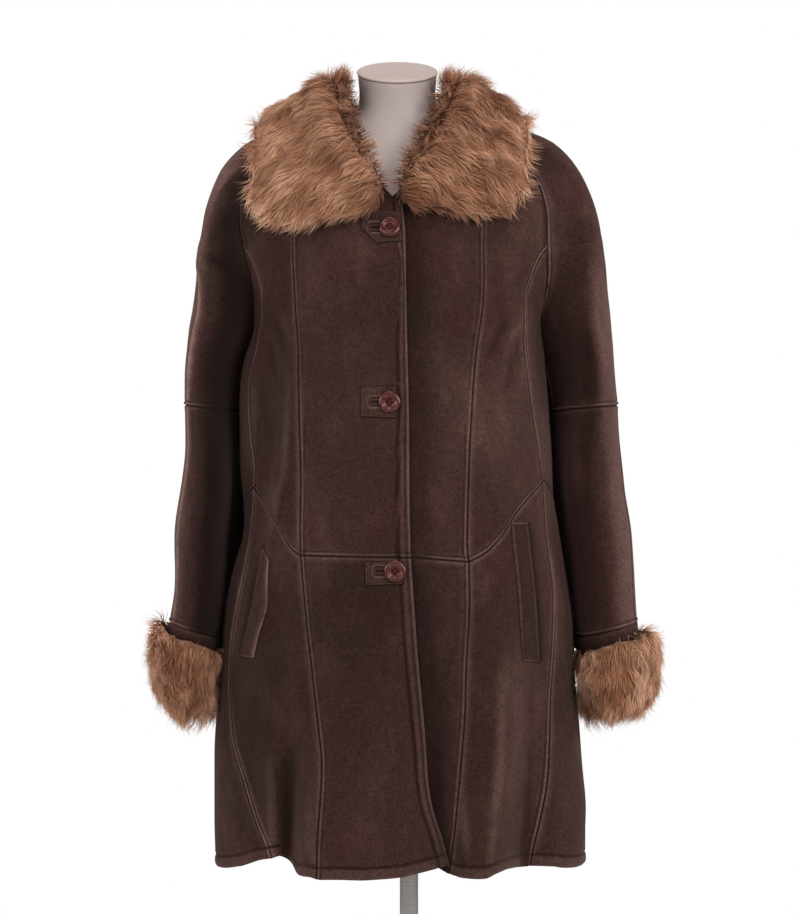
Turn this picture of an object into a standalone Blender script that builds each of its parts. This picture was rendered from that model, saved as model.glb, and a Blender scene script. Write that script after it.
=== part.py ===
"""A shearling coat, buttoned on a limbless dress form stand.

Frame: metres, +Z up, origin on the floor in the middle of the base's underside.
The coat faces -Y, so the wearer's right is -X.  The coat hangs a little to the
wearer's right of the pole, by COAT_X.  Every piece of the coat is a wall of skin
and wool, WALL thick, worked out from one surface of the body and one of each
sleeve, so neighbouring pieces share their seams with SEAM_GAP between them.
"""
import math
from collections import namedtuple

import bmesh
import bpy
import numpy as np
from mathutils import Matrix, Vector
from mathutils.bvhtree import BVHTree

# ---------------------------------------------------------------- driving sizes
WALL = 0.0045            # skin with its short wool
SEAM_GAP = 0.0003        # between neighbouring pieces
COAT_X = -0.010          # middle of the coat, seen from the pole
UNDERARM_Z = 1.140       # where sleeve, side and armhole meet
BRANCH_Z = 1.266         # where the side-front seam leaves the raglan seam
PRINCESS_TOP_Z = 1.400   # where the princess seam meets the raglan seam
NECK_SIDE_Z = 1.435      # where the raglan seams end at the neck
NECK_FRONT_Z = 1.318     # lowest point of the neckline
NECK_BACK_Z = 1.430
NECK_EASE = 1.7          # how late the neckline rises on its way to the neck's side
HEM_Z = 0.536
LAP_DEPTH = 0.0065       # how far the underlap lies behind the front on top
LAP_REACH = 0.030        # how far the underlap runs under that front
LAP_SLOPE = 0.040        # how far beyond the edge on top the underlap comes up again
SQUARENESS = 2.4         # 2 would make the body's sections true ellipses

BUTTON_RADIUS = 0.0125
BUTTON_THICK = 0.0042
BUTTON_SIDES = 20
BUTTON_LIFT = 0.0007      # from the patch to the button's back
PATCH_THICK = 0.0013
PATCH_LIFT = 0.0007      # from the front to the patch's back
WELT_THICK = 0.0022
WELT_LIFT = 0.0009       # from the front to the welt's back
COLLAR_CLEAR = 0.0084    # under the collar
CUFF_CLEAR = 0.0008      # round the cuff band, inside the fur

POLE_RADIUS = 0.011
BASE_RADIUS = 0.175
BASE_THICK = 0.014
FORM_LOW_Z = 0.800
NECK_RADIUS = 0.0465
NECK_TOP_Z = 1.4790
CAP_TILT = math.radians(20)
CAP_THICK = 0.004
CAP_EDGE = 0.0022        # how far the cap stands out from the neck


class Table:
    """Rows of numbers under named columns, read smoothly between the rows."""

    def __init__(self, columns, rows):
        self.names = columns.split()
        self.rows = np.array(rows, dtype=float)

    def at(self, key, column):
        """The column's value where the first column has the value key."""
        keys = self.rows[:, 0]
        values = self.rows[:, self.names.index(column)]
        step = np.diff(values) / np.diff(keys)
        before, after = step[:-1], step[1:]
        total = np.where(before * after > 0, before + after, 1.0)
        inner = np.where(before * after > 0, 2 * before * after / total, 0.0)
        slope = np.concatenate((step[:1], inner, step[-1:]))
        key = np.clip(key, keys[0], keys[-1])
        row = np.clip(np.searchsorted(keys, key, side="right") - 1, 0, len(keys) - 2)
        width = keys[row + 1] - keys[row]
        share = (key - keys[row]) / width
        return (values[row] * (1 + 2 * share) * (1 - share) ** 2
                + slope[row] * width * share * (1 - share) ** 2
                + values[row + 1] * share ** 2 * (3 - 2 * share)
                + slope[row + 1] * width * share ** 2 * (share - 1))


# Horizontal sections of the body: half widths of either side, depths from the side
# seam's plane.  Above the underarm the widths are those of body and sleeve together.
BODY = Table("z right left front back", (
    (0.530, 0.2205, 0.2205, 0.173, 0.160),
    (0.600, 0.2225, 0.2205, 0.172, 0.158),
    (0.660, 0.2225, 0.2160, 0.171, 0.156),
    (0.715, 0.2197, 0.2120, 0.170, 0.154),
    (0.753, 0.2160, 0.2084, 0.169, 0.152),
    (0.800, 0.2137, 0.2070, 0.167, 0.150),
    (0.830, 0.2110, 0.2055, 0.166, 0.149),
    (0.860, 0.2060, 0.2015, 0.165, 0.147),
    (0.900, 0.1955, 0.1945, 0.163, 0.145),
    (0.925, 0.1885, 0.1900, 0.162, 0.144),
    (0.947, 0.1865, 0.1866, 0.161, 0.143),
    (0.975, 0.1885, 0.1820, 0.159, 0.143),
    (1.016, 0.1925, 0.1810, 0.157, 0.143),
    (1.064, 0.1925, 0.1780, 0.155, 0.144),
    (1.110, 0.1905, 0.1745, 0.153, 0.145),
    (1.140, 0.1865, 0.1720, 0.151, 0.145),
    (1.180, 0.1830, 0.1740, 0.148, 0.144),
    (1.220, 0.1960, 0.1880, 0.143, 0.141),
    (1.260, 0.2150, 0.2080, 0.136, 0.136),
    (1.300, 0.2300, 0.2230, 0.124, 0.129),
    (1.340, 0.2260, 0.2180, 0.106, 0.119),
    (1.375, 0.2050, 0.1950, 0.086, 0.104),
    (1.400, 0.1700, 0.1650, 0.069, 0.087),
    (1.420, 0.1200, 0.1180, 0.054, 0.072),
    (1.440, 0.0850, 0.0850, 0.044, 0.058),
))

# The raglan seams, from the underarm to the neck: how far out, and how far to the
# front and to the back of the side seam's plane.
RAGLAN = Table("z right left front back", (
    (1.140, 0.1865, 0.1720, 0.000, 0.000),
    (1.160, 0.1780, 0.1660, 0.014, 0.018),
    (1.180, 0.1735, 0.1650, 0.032, 0.040),
    (1.210, 0.1730, 0.1700, 0.058, 0.064),
    (1.240, 0.1780, 0.1725, 0.078, 0.081),
    (1.266, 0.1840, 0.1715, 0.088, 0.089),
    (1.300, 0.1895, 0.1710, 0.089, 0.091),
    (1.335, 0.1865, 0.1645, 0.077, 0.085),
    (1.370, 0.1600, 0.1400, 0.064, 0.072),
    (1.400, 0.1200, 0.1100, 0.053, 0.058),
    (1.420, 0.0880, 0.0850, 0.047, 0.050),
    (1.435, 0.0620, 0.0620, 0.041, 0.043),
))

# Rings round the sleeves, from the mouth inside the fur cuff to the neck.  low_z is
# the height at the underarm seam or on the raglan seam; the ring's outer point has
# its own height and distance.  deep is half the ring's depth from front to back, and
# pinch is 1 where the sleeve springs back from the body at the armpit.
SLEEVE = Table("low_z right_in left_in right_out left_out out_z deep pinch", (
    (0.700, 0.2270, 0.2235, 0.2825, 0.2880, 0.715, 0.074, 1.0),
    (0.775, 0.2215, 0.2180, 0.2790, 0.2850, 0.792, 0.073, 1.0),
    (0.806, 0.2180, 0.2130, 0.2765, 0.2835, 0.824, 0.073, 1.0),
    (0.860, 0.2115, 0.2080, 0.2720, 0.2815, 0.868, 0.076, 1.0),
    (0.920, 0.2095, 0.2010, 0.2700, 0.2770, 0.925, 0.080, 1.0),
    (0.980, 0.2020, 0.1930, 0.2625, 0.2660, 0.985, 0.083, 1.0),
    (1.030, 0.1985, 0.1870, 0.2582, 0.2615, 1.036, 0.084, 1.0),
    (1.076, 0.1965, 0.1825, 0.2580, 0.2585, 1.082, 0.084, 1.0),
    (1.110, 0.1935, 0.1785, 0.2572, 0.2555, 1.118, 0.086, 1.0),
    (1.140, 0.1865, 0.1720, 0.2545, 0.2535, 1.150, 0.088, 1.0),
    (1.160, 0.1780, 0.1660, 0.2525, 0.2515, 1.172, 0.088, 0.95),
    (1.180, 0.1735, 0.1650, 0.2488, 0.2495, 1.195, 0.085, 0.85),
    (1.210, 0.1730, 0.1700, 0.2450, 0.2465, 1.226, 0.080, 0.62),
    (1.240, 0.1780, 0.1725, 0.2408, 0.2428, 1.255, 0.078, 0.40),
    (1.266, 0.1840, 0.1715, 0.2355, 0.2392, 1.282, 0.086, 0.24),
    (1.300, 0.1895, 0.1710, 0.2297, 0.2318, 1.315, 0.090, 0.10),
    (1.335, 0.1865, 0.1645, 0.2162, 0.2160, 1.356, 0.090, 0.0),
    (1.370, 0.1600, 0.1400, 0.1830, 0.1845, 1.394, 0.090, 0.0),
    (1.400, 0.1200, 0.1100, 0.1270, 0.1290, 1.418, 0.090, 0.0),
    (1.420, 0.0880, 0.0850, 0.0900, 0.0900, 1.434, 0.090, 0.0),
    (1.435, 0.0620, 0.0620, 0.0620, 0.0620, 1.446, 0.090, 0.0),
))
CUFF_SEAM_Z, CUFF_BAND_Z, ELBOW_Z = 0.806, 0.775, 1.076
SLEEVE_MIDDLE_X = 0.22   # distance of the arms' middles from the coat's middle
OUTER_Y = -0.004         # the outer-arm seams lie this far to the front
SPRING_LEAN = 0.42       # how much a sleeve leans outward as it springs from the armpit
BULGE = 0.75             # a curve bulges by this share of its two handles
FIRST_HANDLE = 0.60      # handles on the smooth part of a ring, as shares of its reach
LAST_HANDLE = 0.95

# Seams of the fronts, as signed distances from the coat's middle.
FRONT_EDGE = Table("z x", (
    (0.530, 0.0480), (0.581, 0.0400), (0.618, 0.0335), (0.680, 0.0297), (0.741, 0.0246),
    (0.802, 0.0190), (0.864, 0.0144), (0.904, 0.0118), (0.955, 0.0106), (1.078, 0.0093),
    (1.200, 0.0067), (1.276, 0.0055), (1.325, 0.0020),
))
PRINCESS = Table("z right left", (
    (0.530, -0.0970, 0.0550), (0.600, -0.0940, 0.0620), (0.661, -0.0920, 0.0680),
    (0.708, -0.0950, 0.0726), (0.770, -0.1020, 0.0757), (0.831, -0.1090, 0.0787),
    (0.893, -0.1140, 0.0787), (0.915, -0.1150, 0.0770), (1.017, -0.1170, 0.0785),
    (1.078, -0.1170, 0.0820), (1.140, -0.1180, 0.0880), (1.202, -0.1240, 0.0946),
    (1.282, -0.1260, 0.0975), (1.350, -0.1240, 0.1030), (1.400, -0.1200, 0.1100),
))
SIDE_FRONT = Table("z right left", (
    (0.530, -0.1500, 0.1500), (0.558, -0.1560, 0.1550), (0.599, -0.1705, 0.1635),
    (0.634, -0.1830, 0.1690), (0.664, -0.1930, 0.1720), (0.697, -0.2000, 0.1745),
    (0.734, -0.2020, 0.1760), (0.773, -0.2030, 0.1785), (0.810, -0.2010, 0.1797),
    (0.854, -0.1930, 0.1795), (0.899, -0.1820, 0.1765), (0.938, -0.1760, 0.1715),
    (0.969, -0.1740, 0.1690), (1.001, -0.1740, 0.1670), (1.048, -0.1780, 0.1610),
    (1.099, -0.1800, 0.1530), (1.150, -0.1700, 0.1470), (1.203, -0.1620, 0.1446),
    (1.230, -0.1660, 0.1530), (1.248, -0.1730, 0.1610), (1.266, -0.1840, 0.1715),
))
# The waist seam: its height at the front edge, the princess, side-front and side
# seams and the middle of the back, and its rise from princess to side-front seam.
WAIST = {
    "right": (0.904, 0.906, 0.985, 0.955, 0.950),
    "left": (0.907, 0.899, 0.9935, 0.955, 0.950),
}
WAIST_RISE = Table("share rise", (
    (0.0, 0.0), (0.15, 0.10), (0.35, 0.34), (0.50, 0.58), (0.73, 0.80), (1.0, 1.0),
))

# Heights of the hem at the same five places: it lifts a little in the deep folds.
HEM = {
    "right": (0.547, 0.536, 0.545, 0.538, 0.538),
    "left": (0.540, 0.538, 0.545, 0.540, 0.538),
}

# The largest folds.  Each follows a line from low to high; depth is how far the skin
# goes back there, and a negative depth is a ridge.  inner and outer are the widths on
# the side of the coat's middle and away from it.
Fold = namedtuple("Fold", "name low high x_low x_high depth_low depth_high inner outer")
FOLDS = (
    Fold("right skirt valley", HEM_Z, 0.740, -0.1320, -0.1220, 0.044, 0.006, 0.016, 0.024),
    Fold("right skirt side", HEM_Z, 0.760, -0.1700, -0.1800, 0.034, 0.004, 0.028, 0.045),
    Fold("right skirt ridge", HEM_Z, 0.720, -0.1440, -0.1640, -0.010, -0.006, 0.012, 0.012),
    Fold("left skirt valley", HEM_Z, 0.860, 0.1450, 0.1600, 0.046, 0.008, 0.022, 0.045),
    Fold("left skirt ridge", HEM_Z, 0.880, 0.1060, 0.1340, -0.009, -0.005, 0.020, 0.014),
    Fold("opening valley", HEM_Z, 0.760, 0.0480, 0.0280, 0.018, 0.002, 0.026, 0.022),
    Fold("right waist recess", 0.880, 1.190, -0.1720, -0.1500, 0.016, 0.012, 0.018, 0.022),
    Fold("right waist ridge", 0.820, 1.180, -0.1600, -0.1260, -0.007, -0.006, 0.014, 0.018),
    Fold("left arm ridge", 1.050, 1.225, 0.1640, 0.1360, -0.009, -0.006, 0.020, 0.012),
    Fold("left arm recess", 1.060, 1.215, 0.1760, 0.1600, 0.016, 0.014, 0.010, 0.016),
)
# Soft folds of the sleeves, along their length: place is the share of the way round
# from the underarm seam over the front, and width is a share too.
SleeveFold = namedtuple("SleeveFold", "side low high place_low place_high depth width")
SLEEVE_FOLDS = (
    SleeveFold("left", 0.900, 1.230, 0.16, 0.22, 0.0070, 0.050),
    SleeveFold("left", 0.840, 1.060, 0.34, 0.30, 0.0045, 0.060),
    SleeveFold("right", 0.860, 1.060, 0.24, 0.30, 0.0050, 0.060),
    SleeveFold("right", 1.080, 1.240, 0.30, 0.22, 0.0040, 0.070),
    SleeveFold("left", 0.840, 1.100, 0.74, 0.70, 0.0050, 0.070),
    SleeveFold("right", 0.840, 1.100, 0.74, 0.70, 0.0050, 0.070),
)
BACK_FLUTES = 3          # soft waves across the back of the skirt
BACK_FLUTE_DEPTH = 0.009

# Segments across and along the pieces.
ACROSS = {"centre": 6, "side_front": 5, "side": 5, "back": 7, "sleeve": 8}
LOWER_ROWS = 9
UPPER_ROWS = 12
SLEEVE_ROWS = {"lower": 8, "upper": 3}

COLOURS = {              # base colour, roughness, metallic
    "suede": ((0.060, 0.036, 0.029), 0.90, 0.0),
    "suede trim": ((0.050, 0.029, 0.024), 0.85, 0.0),
    "fur": ((0.500, 0.290, 0.170), 0.95, 0.0),
    "button": ((0.130, 0.022, 0.014), 0.18, 0.0),
    "form": ((0.620, 0.570, 0.545), 0.55, 0.0),
    "form cap": ((0.520, 0.450, 0.425), 0.60, 0.0),
    "steel": ((0.480, 0.440, 0.410), 0.25, 1.0),
}


# ---------------------------------------------------------------- the coat's surface
def side_name(side):
    """'right' for the wearer's right, at -X, and 'left' for +X."""
    return "right" if side < 0 else "left"


def superellipse(angle):
    """Radius of a section of half width and depth 1 at an angle from the middle."""
    total = np.abs(np.sin(angle)) ** SQUARENESS + np.abs(np.cos(angle)) ** SQUARENESS
    return total ** (-1 / SQUARENESS)


def smoothstep(share):
    share = np.clip(share, 0.0, 1.0)
    return share * share * (3 - 2 * share)


def fold_depth(x, z):
    """How far back the folds take the front at x and z."""
    depth = np.zeros_like(x)
    for fold in FOLDS:
        share = (z - fold.low) / (fold.high - fold.low)
        inside = np.clip(share, 0.0, 1.0)
        middle = fold.x_low + (fold.x_high - fold.x_low) * inside
        deep = fold.depth_low + (fold.depth_high - fold.depth_low) * inside
        deep = deep * smoothstep((1 - share) / 0.4)
        if fold.low > HEM_Z:
            deep = deep * smoothstep(share / 0.4)
        width = np.where(np.abs(x) < np.abs(middle), fold.inner, fold.outer)
        depth = depth + deep * np.exp(-((x - middle) / width) ** 2)
    return depth


def body_point(side, share, z, rear=False):
    """The body's outer surface: share 0 is the middle, 1 the side or raglan seam."""
    share, z = np.broadcast_arrays(np.asarray(share, float), np.asarray(z, float))
    share = np.minimum(share, 1.0)
    half = BODY.at(z, side_name(side))
    deep = BODY.at(z, "back" if rear else "front")
    end_out = np.where(z > UNDERARM_Z, RAGLAN.at(z, side_name(side)), half)
    end_deep = np.where(z > UNDERARM_Z, RAGLAN.at(z, "back" if rear else "front"), 0.0)
    end_angle = np.arctan2(end_out / half, end_deep / deep)
    pull = np.hypot(end_out / half, end_deep / deep) / superellipse(end_angle) - 1
    angle = share * end_angle
    radius = superellipse(angle) * (1 + pull * np.abs(share) ** 5)
    x = side * half * radius * np.sin(angle)
    y = deep * radius * np.cos(angle)
    if rear:
        wave = np.cos(math.pi * BACK_FLUTES * share) * BACK_FLUTE_DEPTH
        y = y + wave * smoothstep((0.85 - z) / 0.30) * smoothstep((1 - share) / 0.3)
    else:
        y = -y + fold_depth(x, z) * smoothstep((1 - share) / 0.25)
        if side > 0:
            y = y + LAP_DEPTH * smoothstep((FRONT_EDGE.at(z, "x") + LAP_SLOPE - x) / 0.028)
    return np.stack((x, y, z), axis=-1)


def share_at(side, x, z):
    """The share round the front at which the body has the signed distance x."""
    low = np.full_like(z, -0.35)
    high = np.ones_like(z)
    for _ in range(40):
        middle = (low + high) / 2
        beyond = body_point(side, middle, z)[..., 0] * side > x * side
        high = np.where(beyond, middle, high)
        low = np.where(beyond, low, middle)
    return (low + high) / 2


def bezier(p0, p1, p2, p3, share):
    share = share[..., None]
    rest = 1 - share
    return (p0 * rest ** 3 + 3 * p1 * share * rest ** 2
            + 3 * p2 * share ** 2 * rest + p3 * share ** 3)


def unit(vectors):
    return vectors / np.maximum(np.linalg.norm(vectors, axis=-1, keepdims=True), 1e-12)


def sleeve_start(side, low_z, rear):
    """Where a ring's half begins: on the underarm seam or on a raglan seam."""
    name = side_name(side)
    start_x = side * SLEEVE.at(low_z, name + "_in")
    above = RAGLAN.at(low_z, "back" if rear else "front")
    deep = np.where(low_z > UNDERARM_Z, above, 0.0)
    start = np.stack((start_x, deep if rear else -deep, low_z), axis=-1)
    seam_body = body_point(side, np.ones_like(low_z), low_z, rear)
    return np.where((low_z > UNDERARM_Z)[..., None], seam_body, start)


def sleeve_point(side, low_z, turn):
    """The sleeve's outer surface: turn 0 is the underarm or front raglan seam, 0.5 the
    outer-arm seam and 1 the underarm or back raglan seam."""
    low_z, turn = np.broadcast_arrays(np.asarray(low_z, float), np.asarray(turn, float))
    turn = np.where(low_z <= UNDERARM_Z, turn % 1.0, np.clip(turn, 0.0, 1.0))
    name = side_name(side)
    halves = []
    for rear in (False, True):
        start = sleeve_start(side, low_z, rear)
        outer = np.stack((side * SLEEVE.at(low_z, name + "_out"),
                          np.full_like(low_z, OUTER_Y),
                          SLEEVE.at(low_z, "out_z")), axis=-1)
        step = 0.002
        above = np.maximum(low_z, UNDERARM_Z + step)
        ones = np.ones_like(low_z)
        across = (body_point(side, ones, above, rear)
                  - body_point(side, ones - 0.003, above, rear))
        along = unit(body_point(side, ones, above + step, rear)
                     - body_point(side, ones, above - step, rear))
        smooth = unit(across - along * np.sum(across * along, axis=-1, keepdims=True))
        forward = np.array((0.0, 1.0 if rear else -1.0, 0.0))
        lean = SPRING_LEAN * smoothstep((low_z - UNDERARM_Z + 0.16) / 0.16)
        spring = unit(forward + lean[..., None] * np.array((side, 0.0, 0.0)))
        pinch = SLEEVE.at(low_z, "pinch")[..., None]
        first = unit(pinch * spring + (1 - pinch) * smooth)
        deep = (SLEEVE.at(low_z, "deep") / BULGE)[..., None]
        reach = outer - start
        along_reach = np.maximum(np.sum(reach * smooth, axis=-1, keepdims=True), 0.012)
        first_length = pinch * deep + (1 - pinch) * FIRST_HANDLE * along_reach
        side_reach = np.abs(reach[..., 1:2])
        last_length = pinch * deep + (1 - pinch) * LAST_HANDLE * side_reach
        half_turn = np.clip(turn * 2 if not rear else 2 - turn * 2, 0.0, 1.0)
        halves.append(bezier(start, start + first * first_length,
                             outer + forward * last_length, outer, half_turn))
    point = np.where((turn <= 0.5)[..., None], halves[0], halves[1])
    return point + sleeve_fold(side, low_z, turn, point)


def sleeve_fold(side, low_z, turn, point):
    """The sleeve folds' displacement, toward the middle of the ring."""
    depth = np.zeros_like(turn)
    for fold in SLEEVE_FOLDS:
        if fold.side != side_name(side):
            continue
        share = (low_z - fold.low) / (fold.high - fold.low)
        inside = np.clip(share, 0.0, 1.0)
        place = fold.place_low + (fold.place_high - fold.place_low) * inside
        fade = smoothstep(share / 0.3) * smoothstep((1 - share) / 0.3)
        depth = depth + fold.depth * fade * np.exp(-((turn - place) / fold.width) ** 2)
    name = side_name(side)
    inner = SLEEVE.at(low_z, name + "_in") + SLEEVE.at(low_z, name + "_out")
    middle = np.stack((side * inner / 2, np.zeros_like(turn), point[..., 2]), axis=-1)
    return unit(middle - point) * depth[..., None]


def body_surface(side, rear=False):
    return lambda share, z: body_point(side, share, z, rear)


def sleeve_surface(side):
    return lambda turn, low_z: sleeve_point(side, low_z, turn)


def normals_of(surface, grid, outward):
    """Unit normals of a surface at a grid of its two coordinates."""
    step_u, step_v = 0.004, 0.0015
    u, v = grid[..., 0], grid[..., 1]
    across = surface(u + step_u, v) - surface(u - step_u, v)
    along = surface(u, v + step_v) - surface(u, v - step_v)
    normal = unit(np.cross(across, along))
    if np.sum(normal * outward(surface(u, v))) < 0:
        normal = -normal
    return normal


def from_body_axis(points):
    return unit(points * np.array((1.0, 1.0, 0.0)))


def from_sleeve_axis(side):
    """Directions away from the middle of a sleeve."""
    def outward(points):
        middle = points.copy()
        middle[..., 0] = side * SLEEVE_MIDDLE_X
        middle[..., 1] = 0.0
        middle[..., 2] -= 0.02
        return unit(points - middle)
    return outward


# ---------------------------------------------------------------- making solids
SKINS = []               # outer points of each panel, as it is made


def material(name):
    """The named material, made on first use."""
    if name in bpy.data.materials:
        return bpy.data.materials[name]
    colour, roughness, metallic = COLOURS[name]
    made = bpy.data.materials.new(name)
    made.use_nodes = True
    shader = made.node_tree.nodes["Principled BSDF"]
    shader.inputs["Base Color"].default_value = (*colour, 1.0)
    shader.inputs["Roughness"].default_value = roughness
    shader.inputs["Metallic"].default_value = metallic
    return made


def add_object(name, mesh, material_name, smooth_angle=math.radians(40)):
    """Put a mesh in the coat's collection as a named object."""
    made = bpy.data.objects.new(name, mesh)
    mesh.materials.append(material(material_name))
    mesh.shade_smooth()
    mesh.set_sharp_from_angle(angle=smooth_angle)
    bpy.data.collections["shearling_coat"].objects.link(made)
    return made


def mesh_from(name, points, faces):
    """A closed mesh with its faces turned outward."""
    mesh = bpy.data.meshes.new(name)
    mesh.from_pydata([tuple(point) for point in points], [], faces)
    shape = bmesh.new()
    shape.from_mesh(mesh)
    bmesh.ops.recalc_face_normals(shape, faces=shape.faces)
    shape.to_mesh(mesh)
    shape.free()
    return mesh


def pull_in(points, edges):
    """Take the named edges of a grid of points half a seam gap inward."""
    pulled = points.copy()
    for edge in edges:
        at, inside = (0, 1) if edge in ("low", "start") else (-1, -2)
        lines = points if edge in ("low", "high") else points.transpose(1, 0, 2)
        moved = pulled if edge in ("low", "high") else pulled.transpose(1, 0, 2)
        seam = unit(np.gradient(lines[at], axis=0))
        inward = lines[inside] - lines[at]
        inward = inward - seam * np.sum(inward * seam, axis=-1, keepdims=True)
        moved[at] += unit(inward) * SEAM_GAP / 2
    return pulled


# Rims are split from the end that lies lower along this direction, so that the rims
# of two pieces that share a seam are split alike.
RIM_LEAN = np.array((0.35, 0.20, 1.0))


def wall(name, outer, inner, material_name):
    """A closed wall between two grids of points with the same rows and columns."""
    rows, columns = outer.shape[:2]
    points = np.concatenate((outer.reshape(-1, 3), inner.reshape(-1, 3)))
    points = points + np.array((COAT_X, 0.0, 0.0))
    under = rows * columns

    def index(row, column):
        return row * columns + column

    faces = []
    for row in range(rows - 1):
        for column in range(columns - 1):
            quad = (index(row, column), index(row, column + 1),
                    index(row + 1, column + 1), index(row + 1, column))
            faces.append(quad)
            faces.append(tuple(corner + under for corner in reversed(quad)))
    rim = [index(0, column) for column in range(columns)]
    rim += [index(row, columns - 1) for row in range(1, rows)]
    rim += [index(rows - 1, column) for column in range(columns - 2, -1, -1)]
    rim += [index(row, 0) for row in range(rows - 2, 0, -1)]
    lean = points @ RIM_LEAN
    for here, there in zip(rim, rim[1:] + rim[:1]):
        if lean[here] < lean[there]:
            faces.append((here, there, there + under))
            faces.append((here, there + under, here + under))
        else:
            faces.append((here, there, here + under))
            faces.append((there, there + under, here + under))
    return add_object(name, mesh_from(name, points, faces), material_name)


def panel(name, surface, grid, outward, seams, side=0):
    """A piece of the coat over a grid of its surface's coordinates.  A sleeve's piece
    gives its side, and takes the body's normals where it meets a raglan seam."""
    outer = surface(grid[..., 0], grid[..., 1])
    normal = normals_of(surface, grid, outward)
    if side:
        for column, rear in ((0, False), (-1, True)):
            if grid[0, column, 0] == (1.0 if rear else 0.0):
                low_z = grid[:, column, 1]
                seam = np.stack((np.ones_like(low_z), low_z), axis=-1)
                body = normals_of(body_surface(side, rear), seam, from_body_axis)
                pinch = SLEEVE.at(low_z, "pinch")[:, None]
                mixed = normal[:, column] * pinch + body * (1 - pinch)
                normal[:, column] = unit(mixed)
    inner = outer - normal * WALL
    SKINS.append(outer)
    return wall(name, pull_in(outer, seams), pull_in(inner, seams), "suede")


def coons(low, high, start, end):
    """Fill a patch from samples of its four edges, as rows from low to high."""
    across = np.linspace(0, 1, len(low))[None, :, None]
    along = np.linspace(0, 1, len(start))[:, None, None]
    between_rows = (1 - along) * low[None] + along * high[None]
    between_ends = (1 - across) * start[:, None] + across * end[:, None]
    corners = ((1 - across) * (1 - along) * low[0] + across * (1 - along) * low[-1]
               + (1 - across) * along * high[0] + across * along * high[-1])
    return between_rows + between_ends - corners


def evenly(first, last, count, ease=1.0):
    return first + (last - first) * np.linspace(0, 1, count + 1) ** ease


def pairs(shares, heights):
    return np.stack(np.broadcast_arrays(shares, heights), axis=-1).astype(float)


# ---------------------------------------------------------------- seams and panels
def raglan_heights():
    """Heights of the sleeve's rings on the raglan seam, in its three stretches."""
    side = evenly(UNDERARM_Z, BRANCH_Z, ACROSS["side"])
    side_front = evenly(BRANCH_Z, PRINCESS_TOP_Z, ACROSS["side_front"])
    neck = evenly(PRINCESS_TOP_Z, NECK_SIDE_Z, 2)
    return side, side_front, neck


def front_edge_line(side, heights):
    """The front's free edge: the underlap reaches further than the edge on top."""
    x = FRONT_EDGE.at(heights, "x") - (LAP_REACH if side > 0 else 0.0)
    return pairs(share_at(side, x, heights), heights)


def seam_line(side, table, heights):
    x = table.at(heights, side_name(side))
    return pairs(share_at(side, x, heights), heights)


def side_line(heights):
    return pairs(np.ones_like(heights), heights)


def level_line(low_share, high_share, low_z, high_z, count, rise=None):
    """An edge that runs across a panel, at even shares of its width."""
    part = np.linspace(0, 1, count + 1)
    lift = part if rise is None else rise.at(part, "rise")
    return pairs(low_share + (high_share - low_share) * part,
                 low_z + (high_z - low_z) * lift)


def make_front(side):
    """The six panels of one front, from the front edge to the side seam."""
    name = side_name(side)
    waist = WAIST[name]
    hem = HEM[name]
    ring_side, ring_front, ring_neck = raglan_heights()
    surface = body_surface(side)

    tops = (NECK_FRONT_Z, PRINCESS_TOP_Z, BRANCH_Z, UNDERARM_Z)
    makers = (
        lambda z: front_edge_line(side, z),
        lambda z: seam_line(side, PRINCESS, z),
        lambda z: seam_line(side, SIDE_FRONT, z),
        side_line,
    )
    upper = [make(evenly(waist[i], tops[i], UPPER_ROWS)) for i, make in enumerate(makers)]
    lower = [make(evenly(hem[i], waist[i], LOWER_ROWS)) for i, make in enumerate(makers)]
    for i in (1, 2):
        upper[i][-1, 0] = 1.0
    neck_z = evenly(NECK_FRONT_Z, NECK_SIDE_Z, ACROSS["centre"], NECK_EASE)
    edge_x = FRONT_EDGE.at(NECK_FRONT_Z, "x") - (LAP_REACH if side > 0 else 0.0)
    neck_x = evenly(edge_x, side * RAGLAN.at(NECK_SIDE_Z, name), ACROSS["centre"])
    neck = pairs(share_at(side, neck_x, neck_z), neck_z)
    neck[0], neck[-1, 0] = upper[0][-1], 1.0
    extra = side_line(ring_neck[1:])
    centre_end = np.concatenate((upper[1], extra))
    centre_start = front_edge_line(side, evenly(waist[0], NECK_FRONT_Z,
                                                UPPER_ROWS + len(extra)))
    tops_across = (neck, side_line(ring_front[::-1]), side_line(ring_side[::-1]))

    for i, kind in enumerate(("centre", "side_front", "side")):
        count = ACROSS[kind]
        rise = WAIST_RISE if kind == "side_front" else None
        waist_line = level_line(upper[i][0, 0], upper[i + 1][0, 0],
                                waist[i], waist[i + 1], count, rise)
        hem_line = level_line(lower[i][0, 0], lower[i + 1][0, 0],
                              hem[i], hem[i + 1], count)
        start, end = (centre_start, centre_end) if i == 0 else (upper[i], upper[i + 1])
        label = {"centre": f"front_{name}_centre", "side_front": f"front_{name}_side",
                 "side": f"underarm_{name}"}[kind]
        seams = ["low", "high", "end"] + (["start"] if i else [])
        panel(label + "_upper", surface, coons(waist_line, tops_across[i], start, end),
              from_body_axis, seams)
        seams = ["high", "end"] + (["start"] if i else [])
        panel(label + "_lower", surface,
              coons(hem_line, waist_line, lower[i], lower[i + 1]), from_body_axis, seams)


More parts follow.
